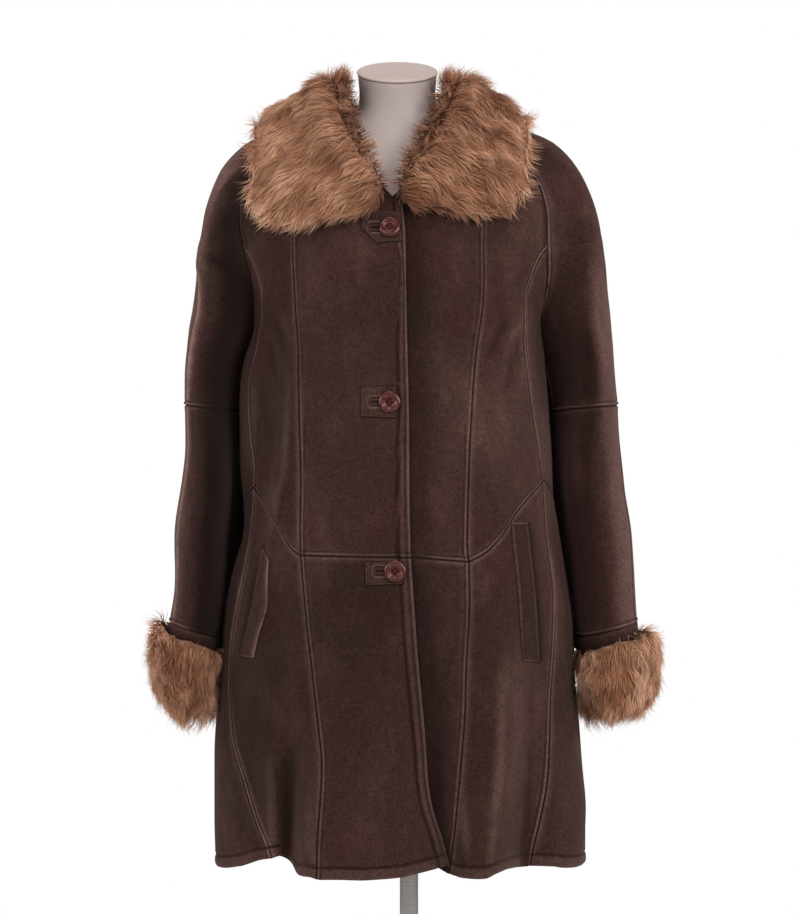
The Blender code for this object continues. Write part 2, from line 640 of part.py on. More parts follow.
def make_back(side):
    """The upper and lower back of one side, from the middle seam to the side."""
    name = side_name(side)
    waist = WAIST[name][3:]
    hem = HEM[name][3:]
    surface = body_surface(side, rear=True)
    ring_side, ring_front, ring_neck = raglan_heights()
    count = ACROSS["back"]
    side_z = np.concatenate((evenly(waist[0], UNDERARM_Z, UPPER_ROWS),
                             ring_side[1:], ring_front[1:], ring_neck[1:]))
    middle_z = evenly(waist[1], NECK_BACK_Z, len(side_z) - 1)
    waist_line = level_line(0.0, 1.0, waist[1], waist[0], count)
    neck_line = level_line(0.0, 1.0, NECK_BACK_Z, NECK_SIDE_Z, count)
    hem_line = level_line(0.0, 1.0, hem[1], hem[0], count)
    panel(f"back_{name}_upper", surface,
          coons(waist_line, neck_line, pairs(0.0, middle_z), side_line(side_z)),
          from_body_axis, ["low", "start", "end"])
    low_rows = evenly(hem[1], waist[1], LOWER_ROWS)
    side_rows = evenly(hem[0], waist[0], LOWER_ROWS)
    panel(f"back_{name}_lower", surface,
          coons(hem_line, waist_line, pairs(0.0, low_rows), side_line(side_rows)),
          from_body_axis, ["high", "start", "end"])


def make_sleeve(side):
    """The four pieces of one sleeve, and the leather band at its cuff."""
    name = side_name(side)
    surface = sleeve_surface(side)
    ring_side, ring_front, ring_neck = raglan_heights()
    rings = {
        "lower": evenly(CUFF_SEAM_Z, ELBOW_Z, SLEEVE_ROWS["lower"]),
        "upper": np.concatenate((evenly(ELBOW_Z, UNDERARM_Z, SLEEVE_ROWS["upper"]),
                                 ring_side[1:], ring_front[1:], ring_neck[1:])),
    }
    for part, heights in rings.items():
        for half, first in (("front", 0.0), ("back", 0.5)):
            turns = np.linspace(first, first + 0.5, ACROSS["sleeve"] + 1)
            grid = pairs(turns[None, :], heights[:, None])
            seams = ["low", "start", "end"] + (["high"] if part == "lower" else [])
            panel(f"sleeve_{name}_{half}_{part}", surface, grid,
                  from_sleeve_axis(side), seams, side)
    make_band(side)


def ring_points(side, heights, turns, offset):
    """Rings round a sleeve, moved out from its surface by offset."""
    grid = pairs(turns[None, :], heights[:, None])
    surface = sleeve_surface(side)
    middle = surface(np.full_like(grid[..., 0], 0.0), grid[..., 1])
    middle = (middle + surface(np.full_like(grid[..., 0], 0.5), grid[..., 1])) / 2
    points = surface(grid[..., 0], grid[..., 1])
    step = 0.01
    ahead = surface((grid[..., 0] + step) % 1.0, grid[..., 1])
    behind = surface((grid[..., 0] - step) % 1.0, grid[..., 1])
    normal = unit(np.cross(ahead - behind, np.array((0.0, 0.0, 1.0))))
    facing = np.sum(normal * (points - middle), axis=-1, keepdims=True)
    normal = normal * np.sign(facing)
    return points + normal * offset


def closed_ring(name, rings, material_name):
    """A solid ring: rows go round its section, columns round the arm."""
    rows, columns = rings.shape[:2]
    points = rings.reshape(-1, 3) + np.array((COAT_X, 0.0, 0.0))
    faces = []
    for row in range(rows):
        for column in range(columns):
            after, beside = (row + 1) % rows, (column + 1) % columns
            faces.append((row * columns + column, row * columns + beside,
                          after * columns + beside, after * columns + column))
    return add_object(name, mesh_from(name, points, faces), material_name)


def make_band(side):
    """The leather band below the cuff seam, where the fur is sewn on."""
    turns = np.linspace(0, 1, 2 * ACROSS["sleeve"], endpoint=False)
    top, low = CUFF_SEAM_Z - SEAM_GAP, CUFF_BAND_Z
    heights = np.array((low, top, top, low))
    offset = np.array((0.0, 0.0, -WALL, -WALL))[:, None, None]
    closed_ring(f"cuff_band_{side_name(side)}",
                ring_points(side, heights, turns, offset), "suede trim")


# Fur cuffs: a section that goes round the band, thick outside the arm and thin where
# the cuff lies against the coat.
FurCuff = namedtuple("FurCuff", "top low outer_thick flank_thick inner_thick taper")
FUR_CUFFS = {
    "right": FurCuff(0.795, 0.697, 0.0280, 0.0250, 0.0045, 0.36),
    "left": FurCuff(0.793, 0.700, 0.0300, 0.0260, 0.0040, 0.04),
}
FUR_CUFF_SECTION = ((0.0, 0.0), (0.0, 1.0), (0.36, 1.11), (0.76, 0.97), (1.0, 0.62),
                    (0.90, 0.34), (0.60, 0.07), (0.28, -0.05))
FUR_CUFF_LIFT = 0.15          # how much lower the fur is against the coat, as a share
FUR_CUFF_TURNS = 24


def make_fur_cuff(side):
    """The fur cuff of one sleeve: its section as shares of thickness and height."""
    size = FUR_CUFFS[side_name(side)]
    turns = np.linspace(0, 1, FUR_CUFF_TURNS, endpoint=False)
    swing = np.abs(np.cos(2 * math.pi * turns))
    outside = np.cos(2 * math.pi * (turns - 0.5)) > 0
    ends = np.where(outside, size.outer_thick, size.inner_thick)
    thick = size.flank_thick + (ends - size.flank_thick) * swing ** 2
    rings = []
    for out, up in FUR_CUFF_SECTION:
        lift = np.where(outside, 1.0, 1.0 - FUR_CUFF_LIFT * swing)
        fall = 0.5 + (up - 0.5) * lift
        height = size.low + (size.top - size.low) * fall
        narrow = 1 - size.taper * (1 - up)
        offset = (CUFF_CLEAR + thick * out * narrow)[None, :, None]
        middle = np.full(1, size.low + (size.top - size.low) * min(max(up, 0.0), 1.0))
        ring = ring_points(side, middle, turns, offset)[0]
        ring[:, 2] += height - middle[0]
        rings.append(ring)
    closed_ring(f"fur_cuff_{side_name(side)}", np.array(rings), "fur")


# ---------------------------------------------------------------- the fur collar
# Spokes from the neckline to the collar's edge, for either lobe; tall is the height of
# the pile near the neck.
COLLAR = Table("share neck_x neck_y neck_z right_x left_x edge_y right_z left_z tall", (
    (0.00, 0.0110, -0.1120, 1.330, 0.0230, 0.0210, -0.1230, 1.302, 1.306, 0.018),
    (0.08, 0.0240, -0.1040, 1.345, 0.0640, 0.0560, -0.1210, 1.292, 1.300, 0.030),
    (0.17, 0.0370, -0.0910, 1.366, 0.1240, 0.1000, -0.1180, 1.282, 1.296, 0.034),
    (0.26, 0.0470, -0.0750, 1.391, 0.1660, 0.1340, -0.1020, 1.298, 1.312, 0.034),
    (0.35, 0.0560, -0.0570, 1.415, 0.1740, 0.1460, -0.0700, 1.336, 1.346, 0.034),
    (0.44, 0.0640, -0.0340, 1.438, 0.1710, 0.1460, -0.0350, 1.376, 1.380, 0.034),
    (0.52, 0.0660, 0.0000, 1.444, 0.1670, 0.1430, 0.0050, 1.395, 1.400, 0.035),
    (0.62, 0.0680, 0.0300, 1.438, 0.1600, 0.1400, 0.0500, 1.378, 1.380, 0.036),
    (0.74, 0.0560, 0.0580, 1.431, 0.1320, 0.1200, 0.0900, 1.335, 1.335, 0.036),
    (0.87, 0.0270, 0.0680, 1.428, 0.0760, 0.0720, 0.1180, 1.305, 1.305, 0.036),
    (1.00, 0.0000, 0.0690, 1.427, 0.0000, 0.0000, 0.1260, 1.300, 1.300, 0.036),
))
COLLAR_SPOKES = 25            # from the front end to the middle of the back
COLLAR_STEPS = 9              # across the underside
COLLAR_SMOOTHING = 4          # rounds of evening out the directions of its pile
# Across the collar: share of its width, height of the pile as a share of tall, and
# how much the pile leans in over the neck.
COLLAR_PILE = ((0.0, 0.45, -0.30), (0.06, 1.02, -0.12), (0.20, 1.22, 0.0),
               (0.48, 0.90, 0.0), (0.74, 0.76, 0.0), (0.92, 0.52, 0.0), (1.0, 0.18, 0.03))


def skin_tree():
    """The coat's outside as made so far, for finding the nearest place on it."""
    points, faces = [], []
    for outer in SKINS:
        rows, columns = outer.shape[:2]
        start = len(points)
        points += [Vector(point) for point in outer.reshape(-1, 3)]
        for row in range(rows - 1):
            for column in range(columns - 1):
                first = start + row * columns + column
                faces.append((first, first + 1, first + columns + 1, first + columns))
    return BVHTree.FromPolygons(points, faces)


def nearest(tree, point):
    """The nearest place on the coat's outside, and the normal there."""
    place, normal, _, _ = tree.find_nearest(Vector(point))
    place, normal = np.array(place), np.array(normal)
    outside = from_body_axis(place) + np.array((0.0, 0.0, 1.0))
    return place, normal if normal @ outside > 0 else -normal


def make_collar():
    """The round fur collar, lying on the coat from one front end to the other."""
    tree = skin_tree()
    shares = evenly(0.0, 1.0, COLLAR_SPOKES)
    spokes = [(-1, share) for share in shares] + [(1, share) for share in shares[-2::-1]]
    across = np.linspace(0, 1, COLLAR_STEPS + 1)
    found = []
    for side, share in spokes:
        name = side_name(side)
        neck = np.array([COLLAR.at(share, "neck_" + axis) for axis in "xyz"])
        edge = np.array([COLLAR.at(share, column)
                         for column in (name + "_x", "edge_y", name + "_z")])
        neck[0] *= side
        edge[0] *= side
        found.append([nearest(tree, neck + (edge - neck) * part) for part in across])
    under, normal = np.array(found).transpose(2, 0, 1, 3)
    for _ in range(COLLAR_SMOOTHING):
        for lines in (normal, normal.transpose(1, 0, 2)):
            lines[1:-1] = unit(lines[:-2] + 2 * lines[1:-1] + lines[2:])
    outward = unit(under[:, 2:3] - under[:, :1]) * np.ones_like(under)
    sections = []
    for index, (_, share) in enumerate(spokes):
        tall = COLLAR.at(share, "tall")
        bottom = under[index] + normal[index] * COLLAR_CLEAR
        top = []
        for part, height, lean in COLLAR_PILE:
            low = min(int(part * COLLAR_STEPS), COLLAR_STEPS - 1)
            mix = part * COLLAR_STEPS - low
            point, away, out = (row[index, low] * (1 - mix) + row[index, low + 1] * mix
                                for row in (under, normal, outward))
            top.append(point + unit(away) * (COLLAR_CLEAR + tall * height)
                       + out * tall * lean)
        sections.append(np.concatenate((bottom, top[::-1])))
    sections = np.array(sections) + np.array((COAT_X, 0.0, 0.0))
    count = sections.shape[1]
    faces = []
    for row in range(len(sections) - 1):
        for column in range(count):
            beside = (column + 1) % count
            faces.append((row * count + column, row * count + beside,
                          (row + 1) * count + beside, (row + 1) * count + column))
    last = (len(sections) - 1) * count
    faces.append(tuple(range(count)))
    faces.append(tuple(last + column for column in range(count - 1, -1, -1)))
    mesh = mesh_from("fur_collar", sections.reshape(-1, 3), faces)
    add_object("fur_collar", mesh, "fur")


# ---------------------------------------------------------------- trims on the fronts
# The two long sides of each outline, from low to high, in distance and height.
Trim = namedtuple("Trim", "name side outer inner")
PATCHES = (
    Trim("buttonhole_patch_top", -1, ((-0.0460, 1.2860), (-0.0460, 1.3060)),
         ((-0.0290, 1.2680), (0.0020, 1.2700), (0.0010, 1.3060))),
    Trim("buttonhole_patch_middle", -1, ((-0.0465, 1.0660), (-0.0465, 1.1020)),
         ((-0.0045, 1.0645), (-0.0045, 1.1015))),
    Trim("buttonhole_patch_low", -1, ((-0.0410, 0.8715), (-0.0410, 0.9000)),
         ((0.0035, 0.8735), (0.0035, 0.9000))),
)
WELTS = (
    Trim("pocket_welt_right", -1, ((-0.1880, 0.7870), (-0.1790, 0.8300), (-0.1580, 0.9180)),
         ((-0.1700, 0.7860), (-0.1560, 0.8440), (-0.1510, 0.9000))),
    Trim("pocket_welt_left", 1, ((0.1650, 0.7810), (0.1500, 0.9440)),
         ((0.1420, 0.7830), (0.1280, 0.9440))),
)
Button = namedtuple("Button", "name x z")
BUTTONS = (
    Button("button_top", -0.0130, 1.2860),
    Button("button_middle", -0.0126, 1.0835),
    Button("button_low", -0.0065, 0.8888),
)
BUTTON_PROFILE = (       # radius and height as shares, from the rim's back to the dish
    (0.0, 0.0), (0.72, 0.0), (0.96, 0.30), (1.0, 0.62), (0.90, 1.0), (0.74, 0.94),
    (0.62, 0.66), (0.0, 0.58),
)


def on_front(side, x, z):
    """The front's outer point and normal at a signed distance and height."""
    grid = pairs(share_at(side, np.array(x, float), np.array(z, float)), np.array(z, float))
    surface = body_surface(side)
    point = surface(grid[..., 0], grid[..., 1])
    return point, normals_of(surface, grid, from_body_axis)


def sampled(line, count):
    """Points at even lengths along a line of corners."""
    line = np.array(line)
    lengths = np.linalg.norm(np.diff(line, axis=0), axis=1)
    length = np.concatenate(((0.0,), np.cumsum(lengths)))
    at = np.linspace(0, length[-1], count + 1)
    return np.stack([np.interp(at, length, line[:, k]) for k in (0, 1)], axis=-1)


def make_trim(trim, rows, columns, lift, thick):
    """A flat piece that lies on a front and follows it."""
    outer, inner = sampled(trim.outer, rows), sampled(trim.inner, rows)
    across = np.linspace(0, 1, columns + 1)[None, :, None]
    grid = outer[:, None] * (1 - across) + inner[:, None] * across
    point, normal = on_front(trim.side, grid[..., 0], grid[..., 1])
    wall(trim.name, point + normal * (lift + thick), point + normal * lift, "suede trim")


def make_button(button):
    """A turned button with a raised rim, lying on its patch."""
    mesh = bpy.data.meshes.new(button.name)
    shape = bmesh.new()
    outline = [shape.verts.new((radius * BUTTON_RADIUS, 0.0, height * BUTTON_THICK))
               for radius, height in BUTTON_PROFILE]
    edges = [shape.edges.new(pair) for pair in zip(outline, outline[1:])]
    bmesh.ops.spin(shape, geom=outline + edges, cent=(0, 0, 0), axis=(0, 0, 1),
                   dvec=(0, 0, 0), angle=2 * math.pi, steps=BUTTON_SIDES, use_merge=True)
    bmesh.ops.remove_doubles(shape, verts=shape.verts, dist=0.00001)
    bmesh.ops.recalc_face_normals(shape, faces=shape.faces)
    shape.to_mesh(mesh)
    shape.free()
    made = add_object(button.name, mesh, "button", math.radians(60))
    point, normal = on_front(-1, button.x, button.z)
    rise = PATCH_LIFT + PATCH_THICK + BUTTON_LIFT
    made.rotation_euler = Vector(normal).to_track_quat("Z", "Y").to_euler()
    made.location = Vector(point + normal * rise) + Vector((COAT_X, 0.0, 0.0))


# ---------------------------------------------------------------- dress form and stand
FORM = Table("z half front back shift", (
    (0.800, 0.130, 0.095, 0.100, 0.000),
    (0.860, 0.143, 0.104, 0.112, 0.000),
    (0.930, 0.140, 0.102, 0.108, 0.000),
    (1.000, 0.124, 0.096, 0.096, 0.000),
    (1.070, 0.120, 0.100, 0.092, 0.000),
    (1.150, 0.132, 0.114, 0.098, 0.000),
    (1.210, 0.142, 0.118, 0.104, 0.000),
    (1.270, 0.155, 0.108, 0.108, 0.000),
    (1.320, 0.166, 0.092, 0.102, 0.000),
    (1.352, 0.164, 0.076, 0.088, 0.000),
    (1.378, 0.140, 0.060, 0.070, 0.000),
    (1.398, 0.096, 0.050, 0.056, 0.000),
    (1.415, 0.066, 0.0460, 0.050, -0.001),
    (1.435, 0.0480, 0.0445, 0.0465, -0.003),
    (1.455, 0.0455, 0.0450, 0.0450, -0.004),
    (1.480, 0.0475, 0.0475, 0.0475, -0.004),
))
FORM_RINGS = 20
FORM_SIDES = 24


def make_form():
    """The limbless torso: rings that turn from a torso's section to the neck's."""
    rings = []
    angles = np.linspace(0, 2 * math.pi, FORM_SIDES, endpoint=False)
    for z in evenly(FORM_LOW_Z, NECK_TOP_Z, FORM_RINGS):
        neck = smoothstep((z - 1.42) / (NECK_TOP_Z - 1.42))
        half, shift = FORM.at(z, "half"), FORM.at(z, "shift")
        deep = np.where(np.cos(angles) > 0, FORM.at(z, "front"), FORM.at(z, "back"))
        x = half * np.sin(angles) + COAT_X + shift
        y = -deep * np.cos(angles)
        tilt = np.tan(CAP_TILT) * y * neck
        rings.append(np.stack((x, y, z + tilt), axis=-1))
    rings = np.array(rings)
    count = FORM_SIDES
    faces = []
    for row in range(len(rings) - 1):
        for column in range(count):
            beside = (column + 1) % count
            faces.append((row * count + column, row * count + beside,
                          (row + 1) * count + beside, (row + 1) * count + column))
    last = (len(rings) - 1) * count
    faces.append(tuple(range(count)))
    faces.append(tuple(last + column for column in range(count - 1, -1, -1)))
    add_object("dress_form", mesh_from("dress_form", rings.reshape(-1, 3), faces), "form")


def make_disc(name, radius, thick, centre, tilt, bevel, sides, material_name):
    """A round plate with its upper and lower edges rounded."""
    mesh = bpy.data.meshes.new(name)
    shape = bmesh.new()
    bmesh.ops.create_cone(shape, cap_ends=True, segments=sides, radius1=radius,
                          radius2=radius, depth=thick)
    rims = [edge for edge in shape.edges
            if abs(edge.verts[0].co.z - edge.verts[1].co.z) < 1e-6]
    bmesh.ops.bevel(shape, geom=rims, offset=bevel, segments=2, profile=0.5,
                    affect="EDGES")
    turn = Matrix.Translation(centre) @ Matrix.Rotation(tilt, 4, "X")
    bmesh.ops.transform(shape, matrix=turn, verts=shape.verts)
    shape.to_mesh(mesh)
    shape.free()
    return add_object(name, mesh, material_name)


def make_stand():
    """The neck's cap, the pole under the form and the round base."""
    up = Vector((0.0, -math.sin(CAP_TILT), math.cos(CAP_TILT)))
    top = Vector((COAT_X + FORM.at(NECK_TOP_Z, "shift"), 0.0, NECK_TOP_Z))
    make_disc("neck_cap", NECK_RADIUS + CAP_EDGE, CAP_THICK,
              top + up * (SEAM_GAP + CAP_THICK / 2), CAP_TILT, 0.0010, 40, "form cap")
    pole_low, pole_high = BASE_THICK + SEAM_GAP, FORM_LOW_Z - SEAM_GAP
    make_disc("pole", POLE_RADIUS, pole_high - pole_low,
              Vector((0.0, 0.0, (pole_low + pole_high) / 2)), 0.0, 0.0008, 24, "steel")
    make_disc("base_plate", BASE_RADIUS, BASE_THICK,
              Vector((0.0, 0.0, BASE_THICK / 2)), 0.0, 0.0030, 64, "steel")


def build():
    """Make every piece of the coat and of its stand."""
    for shape in list(bpy.data.objects):
        bpy.data.objects.remove(shape)
    collection = bpy.data.collections.new("shearling_coat")
    bpy.context.scene.collection.children.link(collection)
    for side in (-1, 1):
        make_front(side)
        make_back(side)
        make_sleeve(side)
        make_fur_cuff(side)
    make_collar()
    for trim in PATCHES:
        make_trim(trim, 2, 3, PATCH_LIFT, PATCH_THICK)
    for trim in WELTS:
        make_trim(trim, 9, 2, WELT_LIFT, WELT_THICK)
    for button in BUTTONS:
        make_button(button)
    make_form()
    make_stand()


build()
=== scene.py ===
# %% [markdown]
# # A shearling coat on a dress form
#
# A shearling coat is sewn from sheepskin, suede side out and wool inside. This one has a
# wide fur collar and fur cuffs, and is buttoned on a tailor's form. The frame's solids
# hold every piece at its real size. This lesson gives them their looks, piece by piece.
# All lengths are metres, Z is up, and the coat looks towards -Y.

# %% Open the frame
import math
from collections import namedtuple

import bmesh
import bpy
import numpy as np
from mathutils import Matrix, Vector
from mathutils.bvhtree import BVHTree
from numpy.linalg import norm


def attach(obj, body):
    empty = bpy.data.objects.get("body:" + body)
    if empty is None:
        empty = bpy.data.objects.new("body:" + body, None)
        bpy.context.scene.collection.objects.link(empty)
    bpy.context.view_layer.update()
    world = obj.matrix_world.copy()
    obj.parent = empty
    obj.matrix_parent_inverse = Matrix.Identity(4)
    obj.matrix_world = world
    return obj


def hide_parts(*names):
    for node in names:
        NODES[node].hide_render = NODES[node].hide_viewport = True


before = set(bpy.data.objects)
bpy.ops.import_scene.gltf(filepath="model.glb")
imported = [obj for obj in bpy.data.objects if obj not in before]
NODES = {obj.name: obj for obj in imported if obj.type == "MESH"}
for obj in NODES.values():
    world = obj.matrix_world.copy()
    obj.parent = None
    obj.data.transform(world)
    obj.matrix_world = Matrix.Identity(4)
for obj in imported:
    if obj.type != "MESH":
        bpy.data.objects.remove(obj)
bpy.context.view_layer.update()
scene = bpy.context.scene


def into_scene(name, data):
    placed = bpy.data.objects.new(name, data)
    scene.collection.objects.link(placed)
    return placed


# %% [markdown]
# ## Camera
#
# A long lens from four metres keeps the coat nearly free of perspective, as clothes are
# shown for sale. It is worked out from the picture's height in pixels, so that 1.2 mm of
# the pole fill one pixel.

# %% Make the camera
PICTURE_TALL = 914  # pixels, of a picture 800 wide
SENSOR = 36.0  # millimetres, along the picture's longer side
PIXELS_PER_SLOPE = 3333.3  # pixels by which a slope of 1 moves a point
CAMERA_PLACE = (-0.0108, -4.0, 1.02)

camera_data = bpy.data.cameras.new("camera")
camera_data.sensor_width = SENSOR
camera_data.lens = PIXELS_PER_SLOPE * SENSOR / PICTURE_TALL
camera = into_scene("camera", camera_data)
camera.location, camera.rotation_euler = CAMERA_PLACE, (math.radians(90), 0.0, 0.0)
scene.camera = camera
print(f"lens {camera_data.lens:.1f} mm")

# %% [markdown]
# ## Light
#
# Suede and fur want soft light. The room looks white to the camera but lights the coat
# only dimly, so that the sleeves stay dark inside. Large panels in front model the folds,
# and two at the sides lift the sleeves' edges. Each is an area light, turned to the coat's
# middle.

# %% Light the room
Panel = namedtuple("Panel", "name place wide watts")
LIGHTS = (
    Panel("key", (1.7, -3.0, 2.5), 1.3, 76.0),
    Panel("fill", (-1.7, -3.3, 2.3), 1.4, 30.0),
    Panel("top", (0.0, -0.6, 3.4), 1.2, 16.0),
    Panel("edge_right", (-2.7, -0.3, 1.6), 1.2, 34.0),
    Panel("edge_left", (2.7, -0.3, 1.6), 1.2, 34.0),
)
LIGHT_TARGET = Vector((-0.01, 0.0, 1.0))
ROOM_WHITE = (1.0, 1.0, 1.0, 1.0)
ROOM_LIGHT, ROOM_SEEN = 0.26, 1.0

world = bpy.data.worlds.new("white_room")
world.use_nodes = True
room = world.node_tree
ray = room.nodes.new("ShaderNodeLightPath")
strength = room.nodes.new("ShaderNodeMapRange")
strength.inputs["To Min"].default_value = ROOM_LIGHT
strength.inputs["To Max"].default_value = ROOM_SEEN
room.links.new(ray.outputs["Is Camera Ray"], strength.inputs["Value"])
room.links.new(strength.outputs[0], room.nodes["Background"].inputs["Strength"])
room.nodes["Background"].inputs["Color"].default_value = ROOM_WHITE
scene.world = world
scene.view_settings.view_transform = "Standard"
for panel in LIGHTS:
    light = bpy.data.lights.new(panel.name, "AREA")
    light.shape, light.size, light.energy = "SQUARE", panel.wide, panel.watts
    lamp = into_scene(panel.name, light)
    lamp.location = panel.place
    facing = LIGHT_TARGET - Vector(panel.place)
    lamp.rotation_euler = facing.to_track_quat("-Z", "Y").to_euler()
print(f"{len(LIGHTS)} lights")

# %% [markdown]
# ## A helper for nodes
#
# A material is a sum of patterns. The class Value wraps one output of a node, and its
# operators add Math nodes, so that `1 - mask` works. Every other node comes from one
# method, `node`, by its type, its settings, and the values or links of its sockets.


# %% Write node trees as sums
class Value:
    """One output of a node, which can be used in sums."""

    def __init__(self, maker, socket):
        self.maker, self.socket = maker, socket

    def math(self, operation, first, second=0.0):
        return self.maker.node("ShaderNodeMath", {"operation": operation},
                               {0: first, 1: second})

    def __add__(self, other):
        return self.math("ADD", self, other)

    def __sub__(self, other):
        return self.math("SUBTRACT", self, other)

    def __rsub__(self, other):
        return self.math("SUBTRACT", other, self)

    def __mul__(self, other):
        return self.math("MULTIPLY", self, other)

    __radd__, __rmul__ = __add__, __mul__

    def clamp(self):
        return self.maker.node("ShaderNodeClamp", {}, {0: self})


class NodeMaker:
    """Adds nodes to one tree."""

    def __init__(self, tree):
        self.tree = tree

    def node(self, kind, settings=None, sockets=None, output=0):
        made = self.tree.nodes.new(kind)
        for name, value in (settings or {}).items():
            setattr(made, name, value)
        for key, value in (sockets or {}).items():
            if isinstance(value, Value):
                self.tree.links.new(value.socket, made.inputs[key])
            else:
                made.inputs[key].default_value = value
        return Value(self, made.outputs[output])

    def vector(self, operation, first, second=(0.0, 0.0, 0.0)):
        return self.node("ShaderNodeVectorMath", {"operation": operation},
                         {0: first, 1: second})

    def scaled(self, vector, size):
        return self.node("ShaderNodeVectorMath", {"operation": "SCALE"},
                         {0: vector, "Scale": size})


print("sums of nodes: +, -, * and clamp")

# %% [markdown]
# ## A helper for materials
#
# Each finish starts from the Principled shader. What is the same all over is set on the
# shader; what changes is linked. Patterns read Object coordinates, so they keep their
# size, or an attribute of the mesh where they follow a seam or a hair.


# %% Start a finish
class Finish(NodeMaker):
    """A material in the making."""

    def __init__(self, name, **fixed):
        self.material = bpy.data.materials.new(name)
        self.material.use_nodes = True
        super().__init__(self.material.node_tree)
        self.shader = self.tree.nodes["Principled BSDF"]
        for socket, value in fixed.items():
            self.shader.inputs[socket.replace("_", " ")].default_value = value
        self.place = self.node("ShaderNodeTexCoord", output="Object")

    def noise(self, scale, detail=2.0, roughness=0.5, stretch=None):
        place = self.place
        if stretch:
            place = self.node("ShaderNodeMapping", {}, {"Vector": place, "Scale": stretch})
        return self.node("ShaderNodeTexNoise", {}, {
            "Vector": place, "Scale": scale, "Detail": detail, "Roughness": roughness})

    def attribute(self, name):
        return self.node("ShaderNodeAttribute", {"attribute_name": name}, output="Fac")

    def span(self, value, low, high):
        """0 below low, 1 above high, and smooth between."""
        return self.node("ShaderNodeMapRange", {"interpolation_type": "SMOOTHSTEP"},
                         {"Value": value, "From Min": low, "From Max": high})

    def blend(self, share, low, high):
        return self.node("ShaderNodeMix", {"data_type": "RGBA"},
                         {0: share, 6: low, 7: high}, output=2)

    def clouded(self, scale, detail, low, high, dark, light):
        """Two colours in clouds of noise."""
        return self.blend(self.span(self.noise(scale, detail), low, high), dark, light)

    def give(self, name, value):
        self.tree.links.new(value.socket, self.shader.inputs[name])

    def colour(self, value):
        self.give("Base Color", value)

    def rough(self, value):
        self.give("Roughness", value)

    def bump(self, height, depth):
        self.give("Normal", self.node("ShaderNodeBump", {}, {
            "Height": height, "Distance": depth, "Strength": 1.0}, output="Normal"))


def rgb(*colour):
    return (*colour, 1.0)


print("finishes start from the Principled shader")

# %% [markdown]
# ## Suede
#
# The outside is the flesh side of the skin, brushed to a short nap. Its dye takes
# unevenly, so a warm and a cooler brown drift into each other, with light strokes where
# the nap was brushed the other way. The nap rubs off on ridges and seams. Ridges and the
# outer arms also get painted highlight, and seams, grooves, hollows and shaded places get
# painted shade: both are attributes of the mesh. A sheen stands for the nap's soft rim.

# %% Finish the suede
SUEDE_WARM = rgb(0.0350, 0.0130, 0.0112)
SUEDE_COOL = rgb(0.0305, 0.0140, 0.0104)
SUEDE_BRUSHED = rgb(0.084, 0.0385, 0.0315)
# The worn colour stands for rubbed nap and for painted highlight; the groove colour is
# painted shade.
SUEDE_WORN_AND_LIT = rgb(0.194, 0.109, 0.091)
SUEDE_PAINTED_SHADE = rgb(0.0070, 0.0030, 0.0027)


def make_suede(name, tone, nap_depth, warm=SUEDE_WARM, cool=SUEDE_COOL):
    """Suede in a darker or lighter tone, with wear and painted highlight on its ridges
    and painted shade in its grooves.
    """
    finish = Finish(name, Sheen_Weight=0.10, Sheen_Roughness=0.5,
                    Sheen_Tint=rgb(0.80, 0.52, 0.45), Specular_IOR_Level=0.12)
    cloud = finish.span(finish.noise(9.0, 4.0, 0.6), 0.36, 0.64)
    brushed = finish.span(finish.noise(19.0, 5.0, 0.62, (1.0, 1.0, 0.55)), 0.46, 0.76)
    nap = finish.noise(900.0, 2.0, 0.7)
    grain = finish.noise(330.0, 4.0, 0.7)
    colour = finish.blend(cloud, warm, cool)
    colour = finish.blend(brushed * 0.42, colour, SUEDE_BRUSHED)
    wear, shade = finish.attribute("wear"), finish.attribute("shade")
    rubbed = (wear * (0.10 + 0.5 * finish.noise(60.0, 3.0) + 1.2 * finish.noise(11.0)))
    # Wear and painted highlight turn the suede paler.
    colour = finish.blend((rubbed * 0.55).clamp(), colour, SUEDE_WORN_AND_LIT)
    # Painted shade darkens seams, grooves, hollows and shaded places.
    colour = finish.blend((shade * 0.88).clamp(), colour, SUEDE_PAINTED_SHADE)
    blotch = finish.noise(105.0, 3.0, 0.6)
    grained = tone * (2.2 * grain + 0.6 * nap + 0.6 * blotch - 0.70)
    finish.colour(finish.node("ShaderNodeHueSaturation", {},
                              {"Value": grained, "Color": colour}))
    finish.rough(0.98 - 0.22 * wear.clamp() - 0.1 * brushed)
    finish.bump(nap * 0.5 + grain * 0.9 + finish.noise(38.0, 3.0) * 1.5, nap_depth)
    return finish.material


SUEDE = make_suede("suede", 1.0, 0.0006)
TRIM = make_suede("suede_trim", 0.80, 0.0005)
PATCH = make_suede("suede_patch", 1.00, 0.0004, rgb(0.036, 0.0165, 0.0122),
                   rgb(0.033, 0.0160, 0.0115))
print(SUEDE.name, TRIM.name, PATCH.name)

# %% [markdown]
# ## Wool, fur and thread
#
# Inside, the skin keeps its clipped wool, a pale brown fleece. The fur is tan and paler at
# the tips; near the skin and on the pelt between the locks it is darker, as painted shade
# deep in the pile. Every lock carries two attributes, the place along it and its tint,
# which holds a painted highlight where the fur turns sideways, and the fur's colour reads
# only those, so that it bakes through a tiny map. The thread is waxed and darker than the
# suede.

# %% Finish the wool, the fur and the thread
WOOL_LIGHT, WOOL_DARK = rgb(0.30, 0.18, 0.11), rgb(0.12, 0.062, 0.036)
# The root colour is darker as painted shade deep in the pile.
FUR_ROOT_SHADE = rgb(0.250, 0.098, 0.047)
FUR_DARK, FUR_LIGHT = rgb(0.290, 0.110, 0.053), rgb(0.640, 0.318, 0.180)
FUR_TIP = rgb(0.910, 0.575, 0.395)

wool = Finish("wool", Roughness=0.95, Sheen_Weight=0.3, Sheen_Roughness=0.5)
fleece = wool.noise(260.0, 4.0, 0.6)
wool.colour(wool.blend(wool.span(fleece, 0.35, 0.62), WOOL_DARK, WOOL_LIGHT))
wool.bump(fleece + wool.noise(90.0, 2.0), 0.0016)

